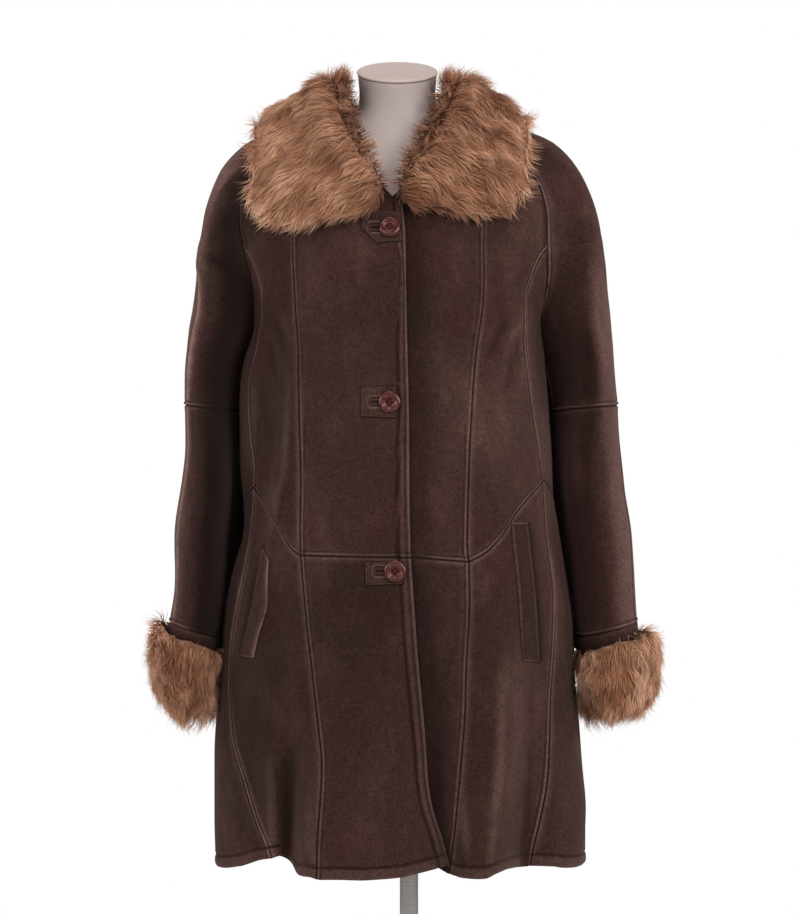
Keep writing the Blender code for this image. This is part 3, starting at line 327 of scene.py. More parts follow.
fur = Finish("fur", Roughness=0.6, Sheen_Weight=0.12, Sheen_Roughness=0.4,
             Sheen_Tint=rgb(1.0, 0.72, 0.55), Specular_IOR_Level=0.2)
along, tint = fur.attribute("along"), fur.attribute("tint")
# The tint carries a painted highlight where the fur turns sideways.
shaft = fur.blend(tint, FUR_DARK, FUR_LIGHT)
shaft = fur.blend(fur.span(along, 0.45, 1.0) * (0.25 + 0.55 * tint), shaft, FUR_TIP)
shaft = fur.blend(fur.span(tint, 0.72, 1.0) * 0.42, shaft, FUR_TIP)
# Towards the root the colour darkens: painted shade.
fur.colour(fur.blend(fur.span(along, 0.0, 0.4), FUR_ROOT_SHADE, shaft))
thinned = 1.0 - 0.72 * fur.span(along, 0.55, 1.0)
fur.give("Alpha", thinned)

# The pelt between the locks is coloured darker: painted shade deep in the pile.
pelt = Finish("pelt", Roughness=0.9)
pelt.colour(pelt.clouded(120.0, 3.0, 0.35, 0.65, rgb(0.200, 0.088, 0.046),
                         rgb(0.380, 0.185, 0.108)))
pelt.bump(pelt.noise(400.0, 3.0), 0.0015)

thread = Finish("thread", Specular_IOR_Level=0.4)
thread.colour(thread.blend(thread.noise(700.0), rgb(0.010, 0.005, 0.004),
                           rgb(0.034, 0.019, 0.015)))
thread.rough(0.5 + 0.2 * thread.noise(300.0))
print("wool, fur, pelt, thread")

# %% [markdown]
# ## Buttons, form and stand
#
# The buttons are turned from reddish horn with a faint figure. The form is a pale, rosy
# shell with a matt orange-peel surface. Pole and base are brushed steel, whose fine lines
# change the roughness and catch the light.

# %% Finish the hard parts
horn = Finish("horn", Coat_Weight=0.22, Coat_Roughness=0.12, Specular_IOR_Level=0.32)
figure = horn.noise(260.0, 3.0, 0.6, (1.0, 1.0, 3.0))
horn.colour(horn.blend(horn.span(figure, 0.35, 0.68), rgb(0.048, 0.0070, 0.0045),
                       rgb(0.100, 0.0180, 0.0110)))
horn.rough(0.20 + 0.08 * figure)


def make_shell(name, light, dark, depth):
    """The matt surface of the form or of its cap."""
    finish = Finish(name, Specular_IOR_Level=0.35)
    finish.colour(finish.clouded(6.0, 2.0, 0.3, 0.7, light, dark))
    finish.rough(0.5 + 0.12 * finish.noise(40.0))
    finish.bump(finish.noise(900.0, 2.0), depth)
    return finish.material


FORM_SHELL = make_shell("form_shell", rgb(0.50, 0.415, 0.390),
                        rgb(0.44, 0.360, 0.338), 0.00010)
# The cap is a little pinker than the shell, and coloured lighter as painted light on its
# upward face.
FORM_CAP = make_shell("form_cap", rgb(0.55, 0.44, 0.41), rgb(0.50, 0.40, 0.37),
                      0.00015)
steel = Finish("brushed_steel", Metallic=1.0)
lines = steel.noise(30.0, 3.0, 0.6, (1.0, 1.0, 40.0))
steel.colour(steel.blend(lines, rgb(0.48, 0.43, 0.40), rgb(0.58, 0.53, 0.50)))
steel.rough(0.24 + 0.08 * lines)
steel.bump(lines, 0.00003)

floor_finish = Finish("floor")
floor_finish.colour(floor_finish.blend(floor_finish.noise(3.0), rgb(0.80, 0.80, 0.80),
                                       rgb(0.84, 0.84, 0.835)))
floor_finish.rough(0.7 + 0.1 * floor_finish.noise(8.0))
print("horn, form, cap, steel, floor")

# %% [markdown]
# ## Floor
#
# A plain pale disc, wide enough for the stand's shadow and below the camera's view.

# %% Lay the floor
FLOOR_RADIUS, FLOOR_DROP = 2.4, 0.0006
floor_mesh = bpy.data.meshes.new("floor")
disc = bmesh.new()
bmesh.ops.create_circle(disc, cap_ends=True, segments=96, radius=FLOOR_RADIUS,
                        matrix=Matrix.Translation((0.0, 0.0, -FLOOR_DROP)))
disc.to_mesh(floor_mesh)
disc.free()
floor_mesh.materials.append(floor_finish.material)
into_scene("floor", floor_mesh)
print("floor laid")

# %% [markdown]
# ## The coat's own shape
#
# The coat is best described as the maker's surface: one for the body and one for each
# sleeve, from tables of widths and depths at a few heights. They are the sizes of the
# solids, sampled far more finely here, so that seams, wear and small creases can be
# formed.

# %% Read tables smoothly
WALL = 0.0045  # skin with its short wool
SEAM_GAP = 0.0003  # between neighbouring pieces
COAT_X = -0.010  # middle of the coat, seen from the pole
UNDERARM_Z = 1.140  # where sleeve, side and armhole meet
BRANCH_Z = 1.266  # where the side-front seam leaves the raglan seam
PRINCESS_TOP_Z = 1.400  # where the princess seam meets the raglan seam
NECK_SIDE_Z = 1.435  # where the raglan seams end at the neck
NECK_FRONT_Z = 1.318  # lowest point of the neckline
NECK_BACK_Z = 1.430
NECK_EASE = 1.7  # how late the neckline rises on its way to the neck's side
HEM_Z = 0.536
LAP_DEPTH = 0.0065  # how far the underlap lies behind the front on top
LAP_REACH = 0.030  # how far the underlap runs under that front
LAP_SLOPE = 0.040  # how far beyond the edge on top the underlap comes up again
SQUARENESS = 2.4  # 2 would make the body's sections true ellipses
BUTTON_RADIUS, BUTTON_THICK, BUTTON_LIFT = 0.0125, 0.0042, 0.0007
PATCH_THICK, PATCH_LIFT = 0.0013, 0.0007
WELT_THICK, WELT_LIFT = 0.0022, 0.0009
TO_COAT = np.array((COAT_X, 0.0, 0.0))
SIDES = {-1: "right", 1: "left"}  # the wearer's right is at -X


def numbers(text):
    """Rows of numbers, in thousandths: millimetres, or thousandths of a share."""
    return np.array([row.split() for row in text.split(";")], float) / 1000


class Table:
    """Rows of numbers under named columns, read smoothly between the rows."""

    def __init__(self, columns, rows):
        self.names, self.rows = columns.split(), numbers(rows)

    def at(self, key, column):
        """The column's value where the first column has the value key."""
        keys = self.rows[:, 0]
        values = self.rows[:, self.names.index(column)]
        step = np.diff(values) / np.diff(keys)
        before, after = step[:-1], step[1:]
        total = np.where(before * after > 0, before + after, 1.0)
        inner = np.where(before * after > 0, 2 * before * after / total, 0.0)
        slope = np.concatenate((step[:1], inner, step[-1:]))
        key = np.clip(key, keys[0], keys[-1])
        row = np.clip(np.searchsorted(keys, key, side="right") - 1, 0, len(keys) - 2)
        width = keys[row + 1] - keys[row]
        share = (key - keys[row]) / width
        return (values[row] * (1 + 2 * share) * (1 - share) ** 2
                + slope[row] * width * share * (1 - share) ** 2
                + values[row + 1] * share ** 2 * (3 - 2 * share)
                + slope[row + 1] * width * share ** 2 * (share - 1))


print(f"skin {WALL * 1000} mm thick, hem {HEM_Z} m above the ground")

# %% Sections of the body and of the sleeves
# Sections of the body: half widths of either side, depths from the side seam's plane.
# Above the underarm the widths are those of body and sleeve together.
BODY = Table("z right left front back", """
    530 220.5 220.5 173 160; 600 222.5 220.5 172 158; 660 222.5 216 171 156;
    715 219.7 212 170 154; 753 216 208.4 169 152; 800 213.7 207 167 150;
    830 211 205.5 166 149; 860 206 201.5 165 147; 900 195.5 194.5 163 145;
    925 188.5 190 162 144; 947 186.5 186.6 161 143; 975 188.5 182 159 143;
    1016 192.5 181 157 143; 1064 192.5 178 155 144; 1110 190.5 174.5 153 145;
    1140 186.5 172 151 145; 1180 183 174 148 144; 1220 196 188 143 141;
    1260 215 208 136 136; 1300 230 223 124 129; 1340 226 218 106 119; 1375 205 195 86 104;
    1400 170 165 69 87; 1420 120 118 54 72; 1440 85 85 44 58""")

# The raglan seams, from the underarm to the neck: how far out, and how far to the
# front and to the back of the side seam's plane.
RAGLAN = Table("z right left front back", """
    1140 186.5 172 0 0; 1160 178 166 14 18; 1180 173.5 165 32 40; 1210 173 170 58 64;
    1240 178 172.5 78 81; 1266 184 171.5 88 89; 1300 189.5 171 89 91;
    1335 186.5 164.5 77 85; 1370 160 140 64 72; 1400 120 110 53 58; 1420 88 85 47 50;
    1435 62 62 41 43""")

# Rings round the sleeves, from the mouth in the fur cuff to the neck.  low_z is the
# height at the underarm or raglan seam; the outer point has its own height.  deep is
# half the depth from front to back, and pinch is 1 where the sleeve springs back from
# the body at the armpit.
SLEEVE = Table("low_z right_in left_in right_out left_out out_z deep pinch", """
    700 227 223.5 282.5 288 715 74 1000; 775 221.5 218 279 285 792 73 1000;
    806 218 213 276.5 283.5 824 73 1000; 860 211.5 208 272 281.5 868 76 1000;
    920 209.5 201 270 277 925 80 1000; 980 202 193 262.5 266 985 83 1000;
    1030 198.5 187 258.2 261.5 1036 84 1000; 1076 196.5 182.5 258 258.5 1082 84 1000;
    1110 193.5 178.5 257.2 255.5 1118 86 1000; 1140 186.5 172 254.5 253.5 1150 88 1000;
    1160 178 166 252.5 251.5 1172 88 950; 1180 173.5 165 248.8 249.5 1195 85 850;
    1210 173 170 245 246.5 1226 80 620; 1240 178 172.5 240.8 242.8 1255 78 400;
    1266 184 171.5 235.5 239.2 1282 86 240; 1300 189.5 171 229.7 231.8 1315 90 100;
    1335 186.5 164.5 216.2 216 1356 90 0; 1370 160 140 183 184.5 1394 90 0;
    1400 120 110 127 129 1418 90 0; 1420 88 85 90 90 1434 90 0;
    1435 62 62 62 62 1446 90 0""")
CUFF_SEAM_Z, CUFF_BAND_Z, ELBOW_Z = 0.806, 0.775, 1.076
SLEEVE_MIDDLE_X = 0.22  # distance of the arms' middles from the coat's middle
OUTER_Y = -0.004  # the outer-arm seams lie this far to the front
SPRING_LEAN = 0.42  # how much a sleeve leans outward as it springs from the armpit
BULGE = 0.75  # a curve bulges by this share of its two handles
FIRST_HANDLE = 0.60  # handles on the smooth part of a ring, as shares of its reach
LAST_HANDLE = 0.95

print(len(BODY.rows), "sections of the body,", len(SLEEVE.rows), "rings of a sleeve")

# %% Seams of the fronts
# Seams of the fronts, as signed distances from the coat's middle.
FRONT_EDGE = Table("z x", """
    530 48; 581 40; 618 33.5; 680 29.7; 741 24.6; 802 19; 864 14.4; 904 11.8; 955 10.6;
    1078 9.3; 1200 6.7; 1276 5.5; 1325 2""")
PRINCESS = Table("z right left", """
    530 -97 55; 600 -94 62; 661 -92 68; 708 -95 72.6; 770 -102 75.7; 831 -109 78.7;
    893 -114 78.7; 915 -115 77; 1017 -117 78.5; 1078 -117 82; 1140 -118 88;
    1202 -124 94.6; 1282 -126 97.5; 1350 -124 103; 1400 -120 110""")
SIDE_FRONT = Table("z right left", """
    530 -150 150; 558 -156 155; 599 -170.5 163.5; 634 -183 169; 664 -193 172;
    697 -200 174.5; 734 -202 176; 773 -203 178.5; 810 -201 179.7; 854 -193 179.5;
    899 -182 176.5; 938 -176 171.5; 969 -174 169; 1001 -174 167; 1048 -178 161;
    1099 -180 153; 1150 -170 147; 1203 -162 144.6; 1230 -166 153; 1248 -173 161;
    1266 -184 171.5""")
# The waist seam: its height at the front edge, the princess, side-front and side
# seams and the middle of the back, and its rise from princess to side-front seam.
WAIST = {
    "right": (0.904, 0.906, 0.985, 0.955, 0.950),
    "left": (0.907, 0.899, 0.9935, 0.955, 0.950),
}
WAIST_RISE = Table("share rise", "0 0; 150 100; 350 340; 500 580; 730 800; 1000 1000")

# Heights of the hem at the same five places: it lifts a little in the deep folds.
HEM = {
    "right": (0.547, 0.536, 0.545, 0.538, 0.538),
    "left": (0.540, 0.538, 0.545, 0.540, 0.538),
}

print("front edge at the hem:", FRONT_EDGE.at(HEM_Z, "x").round(4), "m from the middle")

# %% The largest folds
# The largest folds: two heights, the place and depth at either, and the widths towards
# the coat's middle and away from it.  A ridge has a depth below 0.
FOLDS = numbers("""
    536 740 -132 -122 44 6 16 24; 536 760 -170 -180 34 4 28 45;
    536 720 -144 -164 -10 -6 12 12; 536 860 145 160 46 8 22 45;
    536 880 106 134 -9 -5 20 14; 536 760 48 28 18 2 26 22; 880 1190 -172 -150 16 12 18 22;
    820 1180 -160 -126 -7 -6 14 18; 1050 1225 164 136 -9 -6 20 12;
    1060 1215 176 160 16 14 10 16""")
# Soft folds along the sleeves: two heights, the share of the way round from the underarm
# seam over the front at either, the depth and the width.
SLEEVE_FOLDS = {
    -1: numbers("860 1060 240 300 5 60; 1080 1240 300 220 4 70; 840 1100 740 700 5 70"),
    1: numbers("900 1230 160 220 7 50; 840 1060 340 300 4.5 60; 840 1100 740 700 5 70"),
}
BACK_FLUTES = 3  # soft waves across the back of the skirt
BACK_FLUTE_DEPTH = 0.009
print(len(FOLDS), "folds of the body")

# %% [markdown]
# ## From tables to a surface
#
# The body is a stack of flattened ellipses, whose front the folds push back and forth. A
# sleeve's ring is two Bezier curves, for its front and its back half, which start on the
# raglan seam or under the arm.


# %% Small tools for numbers
def superellipse(angle):
    """Radius of a section of half width and depth 1 at an angle from the middle."""
    total = np.abs(np.sin(angle)) ** SQUARENESS + np.abs(np.cos(angle)) ** SQUARENESS
    return total ** (-1 / SQUARENESS)


def spread(*parts):
    return np.broadcast_arrays(*[np.asarray(part, float) for part in parts])


def joined(*parts):
    """Numbers side by side, along a last axis."""
    return np.stack(spread(*parts), axis=-1)


def on(surface, grid):
    return surface(grid[..., 0], grid[..., 1])


def ramp(share):
    """0 below 0, 1 above 1, and smooth between."""
    share = np.clip(share, 0.0, 1.0)
    return share * share * (3 - 2 * share)


print("a ramp at a quarter:", ramp(0.25))


# %% The body's surface
def fold_depth(x, z):
    """How far back the folds take the front at x and z."""
    depth = np.zeros_like(x)
    for low, high, x_low, x_high, deep_low, deep_high, inner, outer in FOLDS:
        share = (z - low) / (high - low)
        inside = np.clip(share, 0.0, 1.0)
        middle = x_low + (x_high - x_low) * inside
        deep = (deep_low + (deep_high - deep_low) * inside) * ramp((1 - share) / 0.4)
        if low > HEM_Z:
            deep = deep * ramp(share / 0.4)
        width = np.where(np.abs(x) < np.abs(middle), inner, outer)
        depth = depth + deep * np.exp(-((x - middle) / width) ** 2)
    return depth


def body_point(side, share, z, rear=False):
    """The body's outer surface: share 0 is the middle, 1 the side or raglan seam."""
    share, z = spread(share, z)
    share = np.minimum(share, 1.0)
    name, face = SIDES[side], "back" if rear else "front"
    half, deep = BODY.at(z, name), BODY.at(z, face)
    end_out = np.where(z > UNDERARM_Z, RAGLAN.at(z, name), half)
    end_deep = np.where(z > UNDERARM_Z, RAGLAN.at(z, face), 0.0)
    end_angle = np.arctan2(end_out / half, end_deep / deep)
    pull = np.hypot(end_out / half, end_deep / deep) / superellipse(end_angle) - 1
    angle = share * end_angle
    radius = superellipse(angle) * (1 + pull * np.abs(share) ** 5)
    x = side * half * radius * np.sin(angle)
    y = deep * radius * np.cos(angle)
    if rear:
        wave = np.cos(math.pi * BACK_FLUTES * share) * BACK_FLUTE_DEPTH
        y = y + wave * ramp((0.85 - z) / 0.30) * ramp((1 - share) / 0.3)
    else:
        y = -y + fold_depth(x, z) * ramp((1 - share) / 0.25)
        if side > 0:
            y = y + LAP_DEPTH * ramp((FRONT_EDGE.at(z, "x") + LAP_SLOPE - x) / 0.028)
    return joined(x, y, z)


def share_at(side, x, z):
    """The share round the front at which the body has the signed distance x."""
    low = np.full_like(z, -0.35)
    high = np.ones_like(z)
    for _ in range(40):
        middle = (low + high) / 2
        beyond = body_point(side, middle, z)[..., 0] * side > x * side
        high = np.where(beyond, middle, high)
        low = np.where(beyond, low, middle)
    return (low + high) / 2


print("side of the chest:", body_point(1, 1.0, 1.1).round(3))


# %% The sleeves' surface
def bezier(p0, p1, p2, p3, share):
    share = share[..., None]
    rest = 1 - share
    return (p0 * rest ** 3 + 3 * p1 * share * rest ** 2
            + 3 * p2 * share ** 2 * rest + p3 * share ** 3)


def dot(first, second):
    return np.sum(first * second, axis=-1, keepdims=True)


def unit(vectors):
    return vectors / np.maximum(norm(vectors, axis=-1, keepdims=True), 1e-12)


def sleeve_start(side, low_z, rear):
    """Where a ring's half begins: on the underarm seam or on a raglan seam."""
    name = SIDES[side]
    start_x = side * SLEEVE.at(low_z, name + "_in")
    above = RAGLAN.at(low_z, "back" if rear else "front")
    deep = np.where(low_z > UNDERARM_Z, above, 0.0)
    start = joined(start_x, deep if rear else -deep, low_z)
    seam_body = body_point(side, np.ones_like(low_z), low_z, rear)
    return np.where((low_z > UNDERARM_Z)[..., None], seam_body, start)


def sleeve_point(side, low_z, turn):
    """The sleeve's outer surface: turn 0 is the underarm or front raglan seam, and 0.5
    the outer-arm seam."""
    low_z, turn = spread(low_z, turn)
    turn = np.where(low_z <= UNDERARM_Z, turn % 1.0, np.clip(turn, 0.0, 1.0))
    name = SIDES[side]
    halves = []
    for rear in (False, True):
        start = sleeve_start(side, low_z, rear)
        outer = joined(side * SLEEVE.at(low_z, name + "_out"), OUTER_Y,
                       SLEEVE.at(low_z, "out_z"))
        step = 0.002
        above = np.maximum(low_z, UNDERARM_Z + step)
        ones = np.ones_like(low_z)
        across = (body_point(side, ones, above, rear)
                  - body_point(side, ones - 0.003, above, rear))
        along = unit(body_point(side, ones, above + step, rear)
                     - body_point(side, ones, above - step, rear))
        smooth = unit(across - along * dot(across, along))
        forward = (0.0, 1.0 if rear else -1.0, 0.0)
        lean = SPRING_LEAN * ramp((low_z - UNDERARM_Z + 0.16) / 0.16)
        spring = unit(forward + lean[..., None] * (side, 0.0, 0.0))
        pinch = SLEEVE.at(low_z, "pinch")[..., None]
        first = unit(pinch * spring + (1 - pinch) * smooth)
        deep = (SLEEVE.at(low_z, "deep") / BULGE)[..., None]
        reach = outer - start
        along_reach = np.maximum(dot(reach, smooth), 0.012)
        first_length = pinch * deep + (1 - pinch) * FIRST_HANDLE * along_reach
        side_reach = np.abs(reach[..., 1:2])
        last_length = pinch * deep + (1 - pinch) * LAST_HANDLE * side_reach
        half_turn = np.clip(turn * 2 if not rear else 2 - turn * 2, 0.0, 1.0)
        halves.append(bezier(start, start + first * first_length,
                             outer + forward * last_length, outer, half_turn))
    point = np.where((turn <= 0.5)[..., None], halves[0], halves[1])
    return point + sleeve_fold(side, low_z, turn, point)


def sleeve_fold(side, low_z, turn, point):
    """The sleeve folds' displacement, toward the middle of the ring."""
    depth = np.zeros_like(turn)
    for low, high, place_low, place_high, deep, width in SLEEVE_FOLDS[side]:
        share = (low_z - low) / (high - low)
        place = place_low + (place_high - place_low) * np.clip(share, 0.0, 1.0)
        fade = ramp(share / 0.3) * ramp((1 - share) / 0.3)
        depth = depth + deep * fade * np.exp(-((turn - place) / width) ** 2)
    both = sum(SLEEVE.at(low_z, SIDES[side] + end) for end in ("_in", "_out"))
    middle = joined(side * both / 2, 0.0, point[..., 2])
    return unit(middle - point) * depth[..., None]


print("left elbow:", sleeve_point(1, ELBOW_Z, 0.5).round(3))


# %% Which way is out
def normals_of(surface, grid, outward):
    """Unit normals of a surface at a grid of its two coordinates."""
    step_u, step_v = 0.004, 0.0015
    u, v = grid[..., 0], grid[..., 1]
    across = surface(u + step_u, v) - surface(u - step_u, v)
    along = surface(u, v + step_v) - surface(u, v - step_v)
    normal = unit(np.cross(across, along))
    if np.sum(normal * outward(surface(u, v))) < 0:
        normal = -normal
    return normal


def from_body_axis(points):
    return unit(points * (1.0, 1.0, 0.0))


def from_sleeve_axis(side):
    """Directions away from the middle of a sleeve."""
    def outward(points):
        middle = points.copy()
        middle[..., 0] = side * SLEEVE_MIDDLE_X
        middle[..., 1] = 0.0
        middle[..., 2] -= 0.02
        return unit(points - middle)
    return outward


def evenly(first, last, count, ease=1.0):
    return first + (last - first) * np.linspace(0, 1, count + 1) ** ease


print("even steps:", evenly(0.0, 1.0, 4))

# %% [markdown]
# ## Creases
#
# Skin this thick folds in a few large waves, which the solids have, and in softer creases
# at the elbows, under the arms and where the buttons pull. Each is a short trough or ridge
# along a line. Long slow waves keep the large panels from looking like sheet metal.

# %% Lay the creases
# A row holds a crease's two ends, its depth (a ridge's is below 0) and its width.
BODY_CREASES = {  # ends as distance from the coat's middle and height
    (-1, False): numbers("""
        -46 1088 -86 1100 1.2 7; -46 1072 -96 1050 1.4 8; -50 890 -100 876 1.4 8;
        -158 1196 -128 1128 3 8; -160 1168 -142 1100 2.6 7; -126 1150 -141 980 -2.2 11;
        -139 1005 -155 905 -3.6 6.5; -152 935 -161 850 -3.4 6; -158 890 -169 785 -3.4 6.5;
        -148 1090 -158 960 3 11; -134 900 -150 770 2.2 12; -60 800 -84 560 2.2 24;
        -30 700 -20 540 -2.4 22; -116 660 -104 540 -3.4 12; -195 880 -205 740 2 12"""),
    (1, False): numbers("""
        130 1196 98 1120 3.2 9; 146 1176 120 1080 2.8 8; 100 1020 126 930 -2.2 12;
        30 1090 70 1110 1 8; 30 890 80 860 1.2 9; 70 860 100 700 2 18;
        60 700 70 545 -3 24; 108 840 116 560 -2.2 18; 196 900 204 760 2 12"""),
    (-1, True): numbers("""
        -150 1200 -90 1130 3 10; -156 1165 -110 1080 2.6 9; -30 1010 -120 985 2 12;
        -60 930 -140 955 1.8 12; -70 820 -84 560 2.6 24"""),
    (1, True): numbers("""
        150 1205 86 1120 3 10; 154 1160 116 1070 2.4 9; 40 1000 130 990 2 12;
        50 940 120 960 1.6 12; 90 800 96 560 2.6 26"""),
}
ROUND_SLEEVE = 0.46  # metres round an arm, which stretch the turn to a length
SLEEVE_CREASES = {  # ends as distance round the arm and height
    -1: numbers("""
        30 1060 120 1086 1.6 10; 40 1020 140 1050 1.4 12; 60 1110 150 1130 1 14;
        150 860 120 980 1 18; 300 1090 420 1060 2.6 9; 310 1040 400 1020 2.2 9"""),
    1: numbers("""
        40 1110 130 1090 1.6 11; 50 1040 150 1066 1.4 12; 90 1190 80 1070 1.8 16;
        50 840 20 960 2.2 12; 310 1100 430 1070 2.6 9; 320 1050 410 1030 2.2 9"""),
}
SLOW_WAVES = (  # direction and length of each wave, its start and its height
    ((0.3, 0.2, 1.0), 0.170, 0.0, 0.0009), ((1.0, -0.4, 0.6), 0.110, 1.7, 0.0007),
    ((-0.7, 0.9, 0.9), 0.075, 3.1, 0.0004))

print(sum(len(rows) for rows in BODY_CREASES.values()), "creases on the body")

# %% Painted shade and light on the suede
# Wide soft areas of painted shade, and of painted light where below 0: their middle, half
# width and height, and how dark.
SHADED_AND_LIT_AREAS = numbers("""
    -150 1060 22 150 200; -165 735 55 130 340; -182 1080 12 110 -600; 176 1030 12 90 -700;
    -172 870 10 70 450; -45 860 55 70 340; -165 740 40 120 220; -140 1140 30 90 220;
    -50 770 55 110 240; 0 1190 120 50 160; 58 745 35 120 260; 48 1020 45 80 -160;
    125 1080 40 90 -140; 150 700 40 90 -120; 170 1300 40 60 -200; -70 930 50 40 -100""")
POCKET_MOUTHS = {  # the open sides of the pocket welts
    -1: numbers("-188 787; -179 830; -158 918"),
    1: numbers("165 781; 150 944"),
}
MOUTH_SHADOW = 0.0045  # how far the painted shadow reaches beside a pocket's mouth
UNDERLAP_SHADOW = 0.019  # how far the painted shadow of the upper front reaches on the lower one
# Painted shade on the side of a sleeve that faces the body, and painted light (below 0) on
# its outer side, by the share of the way across the arm.
ARM_SHADE_AND_LIGHT = Table("across right left", """
    0 600 -100; 100 900 -50; 250 1000 180; 400 1000 360; 500 800 400; 600 520 300;
    680 360 0; 760 160 -320; 840 -140 -500; 920 -500 -600; 1000 -800 -660""")
ARM_LOW = 0.07  # how much farther in that tone lies on the lower arm
NARROWEST = 0.000001  # the sleeves end in a point at the neck
ARM_FADE = {"right": 1.47, "left": 1.33}  # height at which that tone has faded out


def painted_shade_and_light(points, node):
    """Painted shade at points of a skin, and painted light where below 0."""
    x, z = points[..., 0], points[..., 2]
    side = -1 if "right" in node else 1
    name, tone = SIDES[side], np.zeros_like(x)
    if node.startswith("front_left_centre"):
        # Painted shadow of the upper front on the underlap beside its edge.
        lapped = np.maximum(x - FRONT_EDGE.at(z, "x"), 0.0)
        tone = 0.62 * np.exp(-(lapped / UNDERLAP_SHADOW) ** 2)
    if node.startswith("sleeve"):
        # Painted shade on the arm's side towards the body, painted light on its outer side.
        inner, outer = (SLEEVE.at(z, name + end) for end in ("_in", "_out"))
        across = (np.abs(x) - inner) / np.maximum(outer - inner, NARROWEST)
        across = across + ARM_LOW * ramp((1.01 - z) / 0.08)
        return ARM_SHADE_AND_LIGHT.at(across, name) * ramp((ARM_FADE[name] - z) / 0.16)
    if "side" in node:
        # Painted shadow beside a pocket's mouth.
        (low_x, low_z), *_, (high_x, high_z) = POCKET_MOUTHS[side]
        share = (z - low_z) / (high_z - low_z)
        off = side * (x - low_x - (high_x - low_x) * share)
        at_mouth = ramp(share / 0.1) * ramp((1 - share) / 0.1)
        tone = 0.75 * at_mouth * np.exp(-(np.maximum(off, 0.0) / MOUTH_SHADOW) ** 2)
        tone = np.where(off > -0.002, tone, 0.0)
    # Soft areas of painted shade and painted light.
    for at_x, at_z, wide, tall, dark in SHADED_AND_LIT_AREAS:
        off = ((x - at_x) / wide) ** 2 + ((z - at_z) / tall) ** 2
        tone = tone + dark * np.exp(-off)
    return tone


# These areas hold painted shade and painted light.
print(len(SHADED_AND_LIT_AREAS), "dark or light areas of nap")


# %% Press the creases in
def crease_depth(creases, x, z):
    """How deep the creases lie at a place of the flat pattern."""
    depth = np.zeros_like(x)
    for x0, z0, x1, z1, deep, width in creases:
        along_x, along_z = x1 - x0, z1 - z0
        length = math.hypot(along_x, along_z)
        share = ((x - x0) * along_x + (z - z0) * along_z) / length ** 2
        off = ((x - x0) * along_z - (z - z0) * along_x) / length
        fade = ramp(share / 0.35) * ramp((1 - share) / 0.35)
        depth = depth + deep * fade * np.exp(-(off / width) ** 2)
    return depth


def slow_waves(points):
    """Shallow waves over the whole coat, on its own places in the room."""
    height = np.zeros(points.shape[:-1])
    for way, length, start, size in SLOW_WAVES:
        phase = points @ (np.array(way) / norm(way)) * 2 * math.pi / length
        height = height + size * np.sin(phase + start)
    return height


print(f"waves reach {sum(wave[3] for wave in SLOW_WAVES) * 1000:.1f} mm")

# %% Let the hem hang
# How far the worn hem hangs below its pattern.
HEM_FALL = {
    -1: Table("x drop", """
        -210 8; -196 6; -182 3.5; -175 0; -161 -3.5; -154 -5; -147 -8; -140 -10.5;
        -133 -8; -126 -3; -119.5 5.2; -105.6 2.5; -91.6 3.5; -70.8 4.5; -36 7; -15 7;
        -1 6; 13 3; 27 1; 41 -1"""),
    1: Table("x drop", """
        30 -9; 41 -8; 47.6 -3.5; 54.5 0; 61.5 2.3; 68 4.5; 96 5.8; 103 4.6; 110 2.3;
        124 1.2; 131 2.3; 138 3.5; 145 4.6; 180 4.6; 187 5.8; 207.6 7"""),
}
EDGE_SWING = 0.0115  # how far the right front's low corner swings to the left


def hem_fallen(side, rear, point):
    """Points of the body, those near the hem moved to where it hangs when worn."""
    x, z = point[..., 0], point[..., 2]
    near = ramp((0.640 - z) / 0.085)
    if rear:
        drop = HEM_FALL[side].at(side * 0.21, "drop") * ramp((side * x - 0.12) / 0.08)
    else:
        drop = HEM_FALL[side].at(x, "drop")
    swing = 0.0
    if side < 0 and not rear:
        swing = EDGE_SWING * ramp((0.665 - z) / 0.13) * ramp((x + 0.03) / 0.06)
    return point + joined(swing, 0.0, -drop * near)


def worn_body(side, rear=False):
    """The body's surface with its creases."""
    creases = BODY_CREASES[side, rear]

    def surface(share, z):
        point = body_point(side, share, z, rear)
        fade = ramp((1 - np.abs(share)) / 0.12)
        sink = crease_depth(creases, point[..., 0], point[..., 2]) + slow_waves(point)
        point = point - from_body_axis(point) * (sink * fade)[..., None]
        return hem_fallen(side, rear, point)
    return surface


print("side of the hem:", worn_body(1)(1.0, HEM_Z).round(3))

# %% Let the sleeves hang
SEAM_FORWARD = Table("z right left", """
    775 90 70; 900 90 65; 1000 95 45; 1060 115 20; 1100 140 0; 1200 145 0; 1280 115 0;
    1340 70 0; 1400 0 0""")
FALL_TURN, FALL_WIDE = 0.90, 0.062  # where the spare cloth falls, round the arm
FALL_BEHIND = 0.003  # how far it goes behind the body's outline


def fallen(side, point, turn):
    """A sleeve's points, its spare cloth fallen towards the body behind the arm."""
    off = np.abs(turn - FALL_TURN)
    z = point[..., 2]
    share = (np.exp(-(np.minimum(off, 1 - off) / FALL_WIDE) ** 2)
             * ramp((z - 0.770) / 0.03) * ramp((1.185 - z) / 0.06))
    reach = np.maximum(side * point[..., 0] - BODY.at(z, SIDES[side]) + FALL_BEHIND, 0.0)
    point = point.copy()
    point[..., 0] -= side * reach * share
    return point


